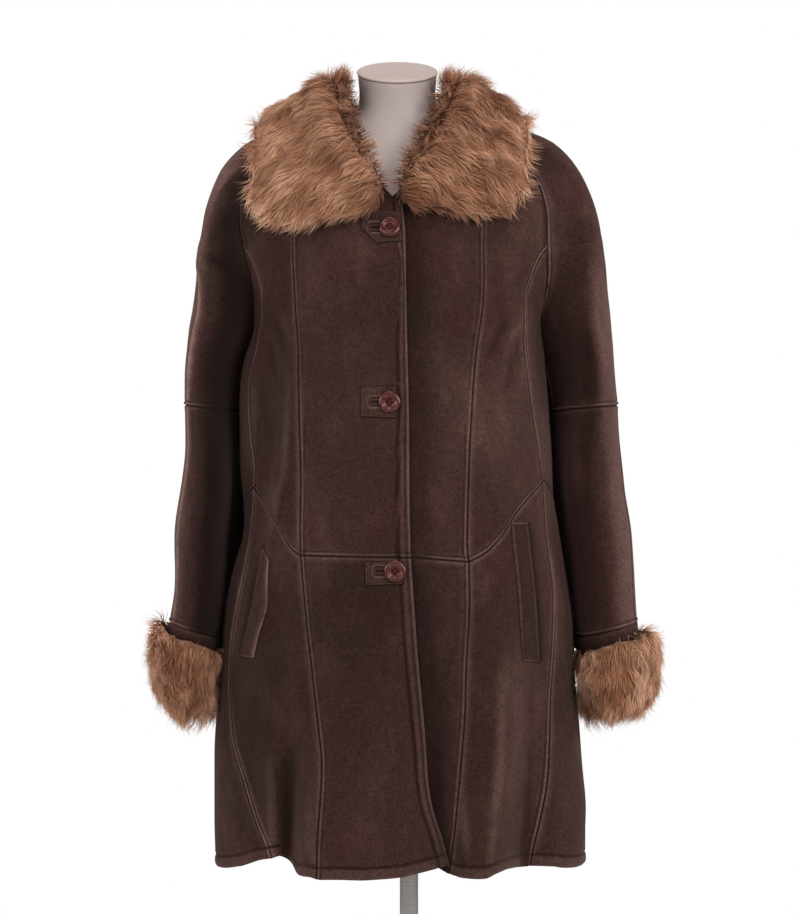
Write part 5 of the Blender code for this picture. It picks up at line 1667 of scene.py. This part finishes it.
def on_front(side, x, z):
    """The front's outer point and normal at a signed distance and height."""
    grid = joined(share_at(side, x, z), z)
    surface = worn_body(side)
    return on(surface, grid), normals_of(surface, grid, from_body_axis)


print("top button:", on_front(-1, *map(np.array, BUTTONS[0][1:]))[0].round(3))


# %% Make the trims
def make_trim(trim, lift, thick, spacing, finish, button=None):
    """A flat piece on a front, with its border and perhaps a slot."""
    tall = max(float(steps_of(line).sum()) for line in (trim.outer, trim.inner))
    wide = max(float(norm(trim.outer[k] - trim.inner[k])) for k in (0, -1))
    rows, columns = round(tall / spacing), round(wide / spacing)
    across = np.linspace(0, 1, columns + 1)[None, :, None]
    grid = (sampled(trim.outer, rows)[:, None] * (1 - across)
            + sampled(trim.inner, rows)[:, None] * across)
    point, normal = on_front(trim.side, grid[..., 0], grid[..., 1])
    from_start, from_low = lengths_along(point), lengths_along(point.transpose(1, 0, 2)).T
    to_end = from_start[:, -1:] - from_start
    border = np.minimum.reduce((from_start, to_end, from_low, from_low[-1:] - from_low))
    rise, wear, shade = ((BORDER if button else SEWN).at(border, part) for part in LOOK)
    if trim.name == RIDGE_TRIM:
        # Wear and painted highlight where the welt lies on the ridge.
        wear = wear + 1.6 * np.exp(-(to_end / 0.004) ** 2)
    if not button:
        at_mouth = from_start < MOUTH_REACH
        rise, wear, shade = (np.where(at_mouth, MOUTH.at(from_start, part), value)
                             for part, value in zip(LOOK, (rise, wear, shade)))
    else:
        beyond = np.maximum(button.x - SLOT_REACH - grid[..., 0], 0.0) * SLOT_END
        near = np.clip((grid[..., 0] - button.x) / SLOT_REACH + 1.0, 0.0, 1.0)
        off = np.hypot((grid[..., 1] - button.z) * (1.0 + SLOT_TAPER * near), beyond)
        rise, wear, shade = with_edge((rise, wear, shade), SLOT, off)
    low = point + normal * lift
    mesh = wall_mesh(trim.name, low + normal * (thick + rise)[..., None], low,
                     wear * (1 - shade), shade)
    piece = add_piece("trim_" + trim.name, mesh, "suede trim", trim.name, finish, finish)
    min(patch_area(point), wide * tall)
    print(f"{trim.name}: {wide * 1000:.0f} x {tall * 1000:.0f} mm")


for trim, button in zip(PATCHES, BUTTONS):
    make_trim(trim, PATCH_LIFT, PATCH_THICK, TRIM_SPACING, PATCH, button)
for trim in WELTS:
    make_trim(trim, WELT_LIFT, WELT_THICK, WELT_SPACING, TRIM)


# %% Stitch the trims down
def stitch_line(side, corners, out, count=40):
    """A line of stitches, lifted off a front by out."""
    line = sampled(np.array(corners), count)
    point, normal = on_front(side, line[:, 0], line[:, 1])
    return point + normal * out + TO_COAT, normal


TRIM_STITCHES = []
for trim in WELTS:
    shift = np.array((0.0028 * -trim.side, 0.0))
    TRIM_STITCHES.append(stitch_line(trim.side, trim.inner + shift, 0.0002))
for trim, button in zip(PATCHES, BUTTONS):
    end = button.x - SLOT_REACH
    top = PATCH_LIFT + PATCH_THICK + 0.0001
    for turn in (-1, 1):
        TRIM_STITCHES.append(stitch_line(-1, (
            (button.x - 0.010, button.z + turn * 0.0062), (end, button.z + turn * 0.0070),
            (end - 0.0031, button.z + turn * 0.0048), (end - 0.0043, button.z)), top, 30))
sew("trim_stitching", TRIM_STITCHES)

# %% [markdown]
# ## Buttons
#
# A four-hole button is turned: a rounded rim, a dished middle, a flat back. Its profile is
# spun, and four thin cylinders are cut out. The thread shows between the holes as two
# short bars.

# %% Turn the buttons
BUTTON_PROFILE = numbers("""
    0 0; 720 0; 880 70; 970 220; 1000 380; 990 520; 955 700; 900 860; 840 960; 780 1000;
    720 980; 660 900; 600 740; 540 600; 470 530; 380 510; 0 500""")
BUTTON_SIDES = 72
HOLE_RADIUS, HOLE_PLACE, HOLE_TURN = 0.00120, 0.0028, math.radians(-8)


def spun(name, profile, sides):
    """A closed shape turned from a profile of (radius, height)."""
    def turn(shape):
        outline = [shape.verts.new((radius, 0.0, height)) for radius, height in profile]
        edges = [shape.edges.new(pair) for pair in zip(outline, outline[1:])]
        bmesh.ops.spin(shape, geom=outline + edges, cent=(0, 0, 0), axis=(0, 0, 1),
                       dvec=(0, 0, 0), angle=2 * math.pi, steps=sides, use_merge=True)
        bmesh.ops.remove_doubles(shape, verts=shape.verts, dist=0.00001)
        bmesh.ops.recalc_face_normals(shape, faces=shape.faces)
    return edited(new_mesh(name), turn)


def bore(drill):
    """Four thin cylinders, where a button has its holes."""
    for hole in range(4):
        angle = HOLE_TURN + hole * math.pi / 2
        made = bmesh.ops.create_cone(drill, cap_ends=True, segments=16,
                                     radius1=HOLE_RADIUS, radius2=HOLE_RADIUS,
                                     depth=4 * BUTTON_THICK)
        bmesh.ops.translate(drill, verts=made["verts"], vec=(
            HOLE_PLACE * math.cos(angle), HOLE_PLACE * math.sin(angle), 0.0))


def on_patch(button, height=0.0):
    """The frame of a button's underside, raised by height."""
    point, normal = on_front(-1, np.array(button.x), np.array(button.z))
    place = point + normal * (PATCH_LIFT + PATCH_THICK + BUTTON_LIFT + height) + TO_COAT
    facing = Vector(normal).to_track_quat("Z", "Y").to_matrix().to_4x4()
    facing.translation = Vector(place)
    return facing


turned_button = into_scene("turned_button", spun(
    "turned_button", BUTTON_PROFILE * (BUTTON_RADIUS, BUTTON_THICK), BUTTON_SIDES))
drills = into_scene("drill", edited(new_mesh("drill"), bore))
cut = turned_button.modifiers.new("holes", "BOOLEAN")
cut.operation, cut.object, cut.solver = "DIFFERENCE", drills, "EXACT"
drilled = smooth(evaluated(turned_button), 40)
bpy.data.objects.remove(drills)
drilled.materials.clear()
for button in BUTTONS:
    mesh = drilled.copy()
    mesh.transform(on_patch(button))
    add_piece("horn_" + button.name, mesh, "button", button.name, horn.material)
print(f"{len(BUTTONS)} buttons of {len(drilled.polygons)} faces")


# %% Thread through the buttons
THREAD_RADIUS, THREAD_HEIGHT = 0.00034, 0.50
BAR_SIZE = (HOLE_PLACE + 0.0002, THREAD_RADIUS, THREAD_RADIUS)


def make_bars(bars):
    """Two crossed bars of thread in each button, from rounded shapes."""
    for button in BUTTONS:
        facing = on_patch(button, THREAD_HEIGHT * BUTTON_THICK)
        for turn in (HOLE_TURN, HOLE_TURN + math.pi / 2):
            placed = (facing @ Matrix.Rotation(turn, 4, "Z")
                      @ Matrix.Diagonal((*BAR_SIZE, 1.0)))
            bmesh.ops.create_uvsphere(bars, u_segments=10, v_segments=8, radius=1.0,
                                      matrix=placed)


bar_mesh = smooth(edited(new_mesh("button_thread"), make_bars))
add_piece("button_thread", bar_mesh, "button", None, thread.material)
print(len(bar_mesh.polygons), "faces of thread")

# %% [markdown]
# ## Fur
#
# Long wool like this is clipped to 20 to 30 mm and combed. It lies over in soft waves,
# with dark partings between pale tips. The pelt is the solid's surface, evened out and
# taken in by the depth of the pile, so that the tips reach about as far as the solid. Its
# points carry the combing direction, how densely the fur grows, and how pale it is, with a
# painted highlight where the pelt turns sideways and on the cuffs' outer side.

# %% Sizes of the fur
PELT_CELL = 0.006  # size of the pelt's faces
PILE_DEPTH, CUFF_DEPTH = 0.0065, 0.0100  # how far the pelts lie inside the solids
COVERED = 0.014  # fur hardly grows where something lies nearer than this
NECK_LINE = numbers("""
    11 -112 1330; 24 -104 1345; 37 -91 1366; 47 -75 1391; 56 -57 1415; 64 -34 1438;
    66 0 1444; 68 30 1438; 56 58 1431; 27 68 1428; 0 69 1427""")
HANG = 0.35  # how much the collar's fur is drawn down by its weight
# Where the collar stands out: the place from the front, its width and its shift.
FLUFFED = numbers("-144 1441 30 -5 11; 117 1453 24 0 8; -61 1463 18 10 9; 50 1466 15 -2 6")
CUFF_ROUNDED = {-1: 0.025, 1: 0.020}  # how far a cuff's low outer corner is drawn in
CUFF_SLIMMED = {-1: 0.005, 1: 0.001}  # how far its outer side is drawn in
CUFF_SHORTER = 0.0045  # how far its lower end is drawn up
CUFF_RAISED = {-1: 0.013, 1: 0.002}  # and how far its high outer corner is raised
HUG_LEFT, HUG_RIGHT = 0.019, 0.004  # how far the collar is pressed to the neck
COMBED_DOWN = 0.011  # how far its rim is drawn in
BARE = 0.06  # how densely fur grows where something lies on it

print(f"the pelts lie {PILE_DEPTH * 1000} and {CUFF_DEPTH * 1000} mm deep")


# %% Make a pelt
def vectors_of(items, what):
    """One vector of each item, such as the place of each point."""
    found = np.empty(len(items) * 3, np.float32)
    items.foreach_get(what, found)
    return found.reshape(-1, 3).astype(float)


def tree_of(mesh):
    return BVHTree.FromPolygons([vertex.co for vertex in mesh.vertices],
                                [face.vertices[:] for face in mesh.polygons])


def make_pelt(name, node, pile=PILE_DEPTH):
    """A solid's surface, evened out and taken in by the depth of the pile."""
    mesh = NODES[node].data.copy()
    mesh.materials.clear()
    solid = into_scene(name, edited(mesh, lambda shape: bmesh.ops.remove_doubles(
        shape, verts=shape.verts, dist=0.00002)))
    even = solid.modifiers.new("even", "REMESH")
    even.mode, even.voxel_size = "VOXEL", PELT_CELL
    soft = solid.modifiers.new("soft", "SMOOTH")
    soft.factor, soft.iterations = 0.5, 6
    mesh = evaluated(solid)
    points = vectors_of(mesh.vertices, "co")
    normals = vectors_of(mesh.vertex_normals, "vector")
    tree = tree_of(mesh)
    depth = np.empty(len(points))
    for k, (point, normal) in enumerate(zip(points, normals)):
        hit = tree.ray_cast(Vector(point - normal * 0.0004), Vector(-normal))[3]
        depth[k] = hit if hit else 0.05
    inset = np.minimum(pile, depth * 0.30)
    ends = np.array([edge.vertices[:] for edge in mesh.edges])
    for _ in range(3):
        total, count = inset.copy(), np.ones(len(points))
        for a, b in ((0, 1), (1, 0)):
            np.add.at(total, ends[:, a], inset[ends[:, b]])
            np.add.at(count, ends[:, a], 1)
        inset = total / count
    return mesh, points - normals * inset[:, None], normals


def open_to_air(points, normals, others, reach=COVERED):
    """1 where nothing of the coat lies close above a point of the pelt."""
    trees = [tree_of(NODES[name].data) for name in others]
    return np.array([
        BARE if any(tree.ray_cast(Vector(point), Vector(normal), reach)[0]
                    for tree in trees) else 1.0
        for point, normal in zip(points, normals)])


def add_pelt(name, node, mesh, points, flow, **fur_values):
    """Put a pelt into the scene, with what is known of its fur at each point."""
    mesh.vertices.foreach_set("co", points.astype(np.float32).ravel())
    mesh.update()
    keep_vectors(mesh, "flow", flow)
    keep_values(mesh, **fur_values)
    add_piece(name, smooth(mesh), "fur", node, pelt.material)


print("bare where anything lies nearer than", COVERED, "m")

# %% [markdown]
# ## One lock, many locks
#
# A lock is a closed, three-sided blade that tapers and leans over. The tree scatters
# points over the pelt, turns each lock from the normal towards the combing direction, and
# disturbs that twice: in waves as wide as a hand, which make the partings, and in small
# cells, which draw hairs into tufts. Its map for baking holds the tint and the place along
# the lock.

# %% Shape one lock
LOCK_RINGS = ((0.0, 1.0), (0.50, 0.80))  # share of its length, width
LOCK_CORNERS = ((-0.5, -1.0), (-0.5, 1.0), (0.7, 0.0))
LOCK_WIDTH = 0.015  # half its width at the root, as a share of its length
LOCK_BEND = 0.56  # how far the tip leans over, as a share of the length
LOCK_TIP = 0.86  # height of the tip, as a share of the length

lock_points = [(share ** 2 * LOCK_BEND + out * wide * LOCK_WIDTH,
                aside * wide * LOCK_WIDTH, share)
               for share, wide in LOCK_RINGS for out, aside in LOCK_CORNERS]
lock_points.append((LOCK_BEND, 0.0, LOCK_TIP))
tip = len(lock_points) - 1
lock_faces = [(face[0], *face[:0:-1]) for face in tube_faces(len(LOCK_RINGS))]
lock_faces += [(tip - 3 + k, tip, tip - 3 + (k + 1) % 3) for k in range(3)]
lock_faces.append((0, 1, 2))
LOCK = hidden_shape("lock", lock_points, lock_faces)
keep_values(LOCK.data, along=[share for share, _ in LOCK_RINGS for _ in range(3)] + [1.0],
            around=[k / 2 for _ in LOCK_RINGS for k in range(3)] + [0.5])
print(f"a lock has {6 * (len(LOCK_RINGS) - 1) + 4} triangles")

# %% Comb the fur with Geometry Nodes
combing = Recipe("combing", Density="Float", Length="Float", Lift="Float", Wave="Float",
                 Tuft="Float", Ruffle="Float", Seed="Int", Lock="Object")
given = combing.given


def named(name, kind="FLOAT"):
    return combing.node("GeometryNodeInputNamedAttribute", {"data_type": kind},
                        {"Name": name})


def swirl(scale, size, detail=0.0):
    """A vector that turns slowly over the fur."""
    place = combing.node("GeometryNodeInputPosition")
    cloud = combing.node("ShaderNodeTexNoise", {}, {
        "Vector": place, "Scale": scale, "Detail": detail}, output="Color")
    return combing.scaled(combing.vector("SUBTRACT", cloud, (0.5, 0.5, 0.5)), size)


scatter = combing.tree.nodes.new("GeometryNodeDistributePointsOnFaces")
combing.tree.links.new(given["Geometry"].socket, scatter.inputs["Mesh"])
combing.tree.links.new((given["Density"] * named("grow")).socket,
                       scatter.inputs["Density"])
combing.tree.links.new(given["Seed"].socket, scatter.inputs["Seed"])
upright = Value(combing, scatter.outputs["Normal"])
combed = combing.vector("ADD", named("flow", "FLOAT_VECTOR"),
                        swirl(28.0, given["Wave"], 1.0))
combed = combing.vector("ADD", combed, swirl(64.0, given["Tuft"]))
ruffle = combing.scaled(combing.random((-1.0,) * 3, (1.0,) * 3, "FLOAT_VECTOR"),
                        given["Ruffle"])
combed = combing.vector("ADD", combed, ruffle)
risen = combing.vector("ADD", combing.scaled(upright, given["Lift"]), combed)
facing = combing.turned(combing.turned(None, "Z", risen), "X", combed, "Z")

cloud = combing.node("ShaderNodeTexNoise", {}, {
    "Vector": combing.node("GeometryNodeInputPosition"), "Scale": 30.0, "Detail": 2.0})
# A lock's tint takes the pale value, with its painted highlight.
shade_of_lock = (3.0 * (cloud - 0.5) + named("pale") + combing.random(-0.24, 0.24)).clamp()
tinted = combing.node("GeometryNodeStoreNamedAttribute", {"data_type": "FLOAT"},
                      {"Geometry": Value(combing, scatter.outputs["Points"]),
                       "Name": "tint", "Value": shade_of_lock})
lock = combing.node("GeometryNodeObjectInfo", {}, {"Object": given["Lock"]},
                    output="Geometry")
size = given["Length"] * combing.random(0.72, 1.22)
locks = combing.node("GeometryNodeInstanceOnPoints", {}, {
    "Points": tinted, "Instance": lock, "Rotation": facing,
    "Scale": combing.node("ShaderNodeCombineXYZ", {}, {0: size, 1: size, 2: size})})
real = combing.node("GeometryNodeRealizeInstances", {}, {"Geometry": locks})
map_place = combing.node("ShaderNodeCombineXYZ", {}, {
    0: named("tint") * 0.94 + named("around") * 0.05 + 0.005,
    1: named("along") * 0.98 + 0.01})
mapped = combing.node("GeometryNodeStoreNamedAttribute",
                      {"data_type": "FLOAT2", "domain": "CORNER"},
                      {"Geometry": real, "Name": "OFBake", "Value": map_place})
combing.finish(mapped, fur.material)
print(len(combing.tree.nodes), "nodes comb the fur")


# %% Grow fur on a pelt
def grow_fur(name, pelt_mesh, locks_wanted, pick=None, **sizes):
    """Fur on those faces of a pelt whose middles are picked."""
    def cut_away(shape):
        away = [face for face in shape.faces
                if pick and not pick(face.calc_center_median())]
        bmesh.ops.delete(shape, geom=away, context="FACES")

    part = edited(new_mesh(name + "_skin"), cut_away, pelt_mesh)
    grow = np.empty(len(part.vertices), np.float32)
    part.attributes["grow"].data.foreach_get("value", grow)
    area = sum(polygon.area * float(np.mean(grow[list(polygon.vertices)]))
               for polygon in part.polygons)
    mesh = combing.grow(into_scene(name + "_skin", part), Density=locks_wanted / area,
                        Lock=LOCK, **sizes)
    for spare in ("grow", "flow", "pale", "around"):
        if spare in mesh.attributes:
            mesh.attributes.remove(mesh.attributes[spare])
    add_piece(name, smooth(mesh), "fur", None)
    print(f"{name}: {len(mesh.polygons) // len(lock_faces)} locks on {area:.3f} m2")


# %% [markdown]
# ## The collar
#
# The collar is combed away from the fold round the neck and down over the shoulders.
# Above the fold it stands up against the neck, and underneath it hardly grows.

# %% Make the collar
pelt_mesh, points, normals = make_pelt("collar_pelt", "fur_collar")
flow, far = np.empty_like(points), np.empty(len(points))
for k, point in enumerate(points):
    mirrored = point - TO_COAT
    side = -1.0 if mirrored[0] < 0 else 1.0
    mirrored[0] *= side
    first, ahead = NECK_LINE[:-1], np.diff(NECK_LINE, axis=0)
    share = np.clip(np.sum((mirrored - first) * ahead, axis=1)
                    / np.sum(ahead * ahead, axis=1), 0.0, 1.0)
    away = mirrored - (first + ahead * share[:, None])
    far[k] = norm(away, axis=1).min()
    away = away[np.argmin(norm(away, axis=1))]
    flow[k] = unit(away) * (side, 1.0, 1.0) + (0.0, 0.0, -HANG)
over = from_body_axis(points - (0.0, -0.01, 0.0))
fold = ramp(far / 0.030)[:, None]
corner = normals @ unit(np.array((0.0, -0.1, 1.0))) + 0.8 * np.abs(normals[:, 0])
rim = ramp((corner - 0.75) / 0.35)
flow = flow * fold + over * (1 - fold)
flow = unit(flow - normals * dot(flow, normals))
flow = flow * (1.0 + 0.9 * rim * ramp((far - 0.06) / 0.05))[:, None]
cloth = [name for name in NODES if name.startswith(("front_", "back_", "sleeve_"))]
# Where the collar turns sideways its fur gets a painted highlight.
edge = ramp((0.75 - np.abs(normals[:, 1])) / 0.5) * ramp((far - 0.05) / 0.04)
pale = np.where(points[:, 0] > COAT_X, 0.10 + 0.68 * ramp((far - 0.03) / 0.10),
                0.22 + 0.46 * ramp((far - 0.02) / 0.09)) + 0.45 * edge
grow = open_to_air(points, normals, cloth)

# The left half is pressed against the neck, and both are combed down at the shoulders.
front = ramp((0.03 - points[:, 1]) / 0.06)
left = (points[:, 0] > COAT_X) * front * ramp((0.095 - far) / 0.08)
right = (points[:, 0] < COAT_X) * front * ramp((0.03 - far) / 0.03)
points[:, 0] -= HUG_LEFT * left + HUG_RIGHT * right
points -= normals * (COMBED_DOWN * rim)[:, None]
for x, z, wide, aside, up in FLUFFED:
    near = np.exp(-((points[:, 0] - COAT_X - x) ** 2 + (points[:, 2] - z) ** 2) / wide ** 2)
    points += near[:, None] * (aside, 0.0, up)
add_pelt("collar_pelt", "fur_collar", pelt_mesh, points, flow, grow=grow, pale=pale)

COLLAR_FUR = dict(Length=0.024, Lift=0.78, Wave=1.7, Tuft=1.20, Ruffle=0.17)
BACK_FROM = 0.030  # the collar's fur behind this is a piece of its own
for part, locks_wanted, seed, picked in (
        ("right", 14000, 3, lambda c: c.y < BACK_FROM and c.x < COAT_X),
        ("left", 13500, 4, lambda c: c.y < BACK_FROM and c.x >= COAT_X),
        ("back", 12500, 5, lambda c: c.y >= BACK_FROM)):
    grow_fur(f"collar_fur_{part}", pelt_mesh, locks_wanted, picked, Seed=seed,
             **COLLAR_FUR)

# %% [markdown]
# ## The cuffs
#
# The fur of a cuff springs out below the band and hangs down over the hand. On the
# outside of the arm it stands up a little.

# %% Make the cuffs
CUFF_FUR = dict(Length=0.025, Lift=0.62, Wave=1.7, Tuft=1.30, Ruffle=0.16)
body = [name for name in NODES if name.startswith(("front_", "back_", "underarm_"))]
for side in SIDES:
    name = SIDES[side]
    pelt_mesh, points, normals = make_pelt(f"cuff_pelt_{name}", f"fur_cuff_{name}",
                                           CUFF_DEPTH)
    low, high = points[:, 2].min(), points[:, 2].max()
    share = (points[:, 2] - low) / (high - low)
    middle = (side * 0.250 + COAT_X, 0.0, 0.0)
    sideways = from_body_axis(points - middle)
    outer = ramp((side * (points[:, 0] - middle[0]) - 0.005) / 0.03)
    crown = ramp((share - 0.70) / 0.22)
    flow = sideways * (0.25 + 1.1 * crown)[:, None]
    flow[:, 2] += 0.7 * outer * crown - 1.0
    flow = (flow - normals * dot(flow, normals)) * (1.0 - 0.35 * outer)[:, None]
    inward = np.sum(normals * sideways, axis=1)
    grow = open_to_air(points, normals, body, 0.005) * ramp((inward + 0.35) / 0.4)
    # The cuff's outer side, and where it turns sideways, get a painted highlight.
    pale = 0.28 + 0.30 * outer + 0.40 * ramp((0.75 - np.abs(normals[:, 1])) / 0.5)
    corner = ramp(side * (points[:, 0] - middle[0]) / 0.05)
    low = np.clip((0.55 - share) / 0.55, 0.0, 1.0) ** 1.5
    points[:, 0] -= side * corner * (CUFF_SLIMMED[side] + CUFF_ROUNDED[side] * low)
    points[:, 2] += CUFF_SHORTER * low
    points[:, 2] += CUFF_RAISED[side] * corner ** 3 * ramp((share - 0.6) / 0.4)
    add_pelt(f"cuff_pelt_{name}", f"fur_cuff_{name}", pelt_mesh, points, flow, grow=grow,
             pale=pale)
    grow_fur(f"cuff_fur_{name}", pelt_mesh, 9500, Seed=8 + side, **CUFF_FUR)

# %% [markdown]
# ## The dress form
#
# A tailor's form is a smooth shell from the torso up to the round neck, which is cut off
# at a slant and closed by a cap.

# %% Make the form
FORM_LOW_Z, NECK_TOP_Z, CAP_TILT = 0.800, 1.4790, math.radians(20)
FORM = Table("z half front back shift", """
    800 130 95 100 0; 860 143 104 112 0; 930 140 102 108 0; 1000 124 96 96 0;
    1070 120 100 92 0; 1150 132 114 98 0; 1210 142 118 104 0; 1270 155 108 108 0;
    1320 166 92 102 0; 1352 164 76 88 0; 1378 140 60 70 0; 1398 96 50 56 0;
    1415 66 46 50 -1; 1435 48 44.5 46.5 -3; 1455 45.5 45 45 -4; 1480 47.5 47.5 47.5 -4""")
FORM_RINGS, FORM_SIDES = 70, 72

rings = []
angles = np.linspace(0, 2 * math.pi, FORM_SIDES, endpoint=False)
for z in evenly(FORM_LOW_Z, NECK_TOP_Z, FORM_RINGS):
    neck = ramp((z - 1.42) / (NECK_TOP_Z - 1.42))
    deep = np.where(np.cos(angles) > 0, FORM.at(z, "front"), FORM.at(z, "back"))
    y = -deep * np.cos(angles)
    x = FORM.at(z, "half") * np.sin(angles) + COAT_X + FORM.at(z, "shift")
    rings.append(np.stack((x, y, z + np.tan(CAP_TILT) * y * neck), axis=-1))
rings = np.array(rings)
index = np.arange(FORM_SIDES * len(rings)).reshape(len(rings), FORM_SIDES)
faces = quads(np.column_stack((index, index[:, 0])))
form_mesh = new_mesh("form", rings.reshape(-1, 3).tolist(),
                     faces.tolist() + [index[0][::-1].tolist(), index[-1].tolist()])
add_piece("form_shell", smooth(form_mesh, 50), "form", "dress_form", FORM_SHELL)

# The cap's radius and height, from the middle of its underside.
CAP_PROFILE = numbers("""
    0 0; 45.5 0; 47.5 0.3; 48.4 1.1; 48.7 2; 48.3 3.1; 47.3 3.8; 44.5 4; 0 4""")
cap_mesh = spun("cap", CAP_PROFILE, 128)
up = Vector((0.0, -math.sin(CAP_TILT), math.cos(CAP_TILT)))
turn = up.to_track_quat("Z", "Y").to_matrix().to_4x4()
turn.translation = (Vector((COAT_X + FORM.at(NECK_TOP_Z, "shift"), 0.0, NECK_TOP_Z))
                    + up * SEAM_GAP)
cap_mesh.transform(turn)
add_piece("form_top", smooth(cap_mesh, 50), "form cap", "neck_cap", FORM_CAP)
for name in ("pole", "base_plate"):
    NODES[name].data.materials.clear()
    NODES[name].data.materials.append(steel.material)
print(f"form of {len(form_mesh.polygons)} faces, cap, pole and base")
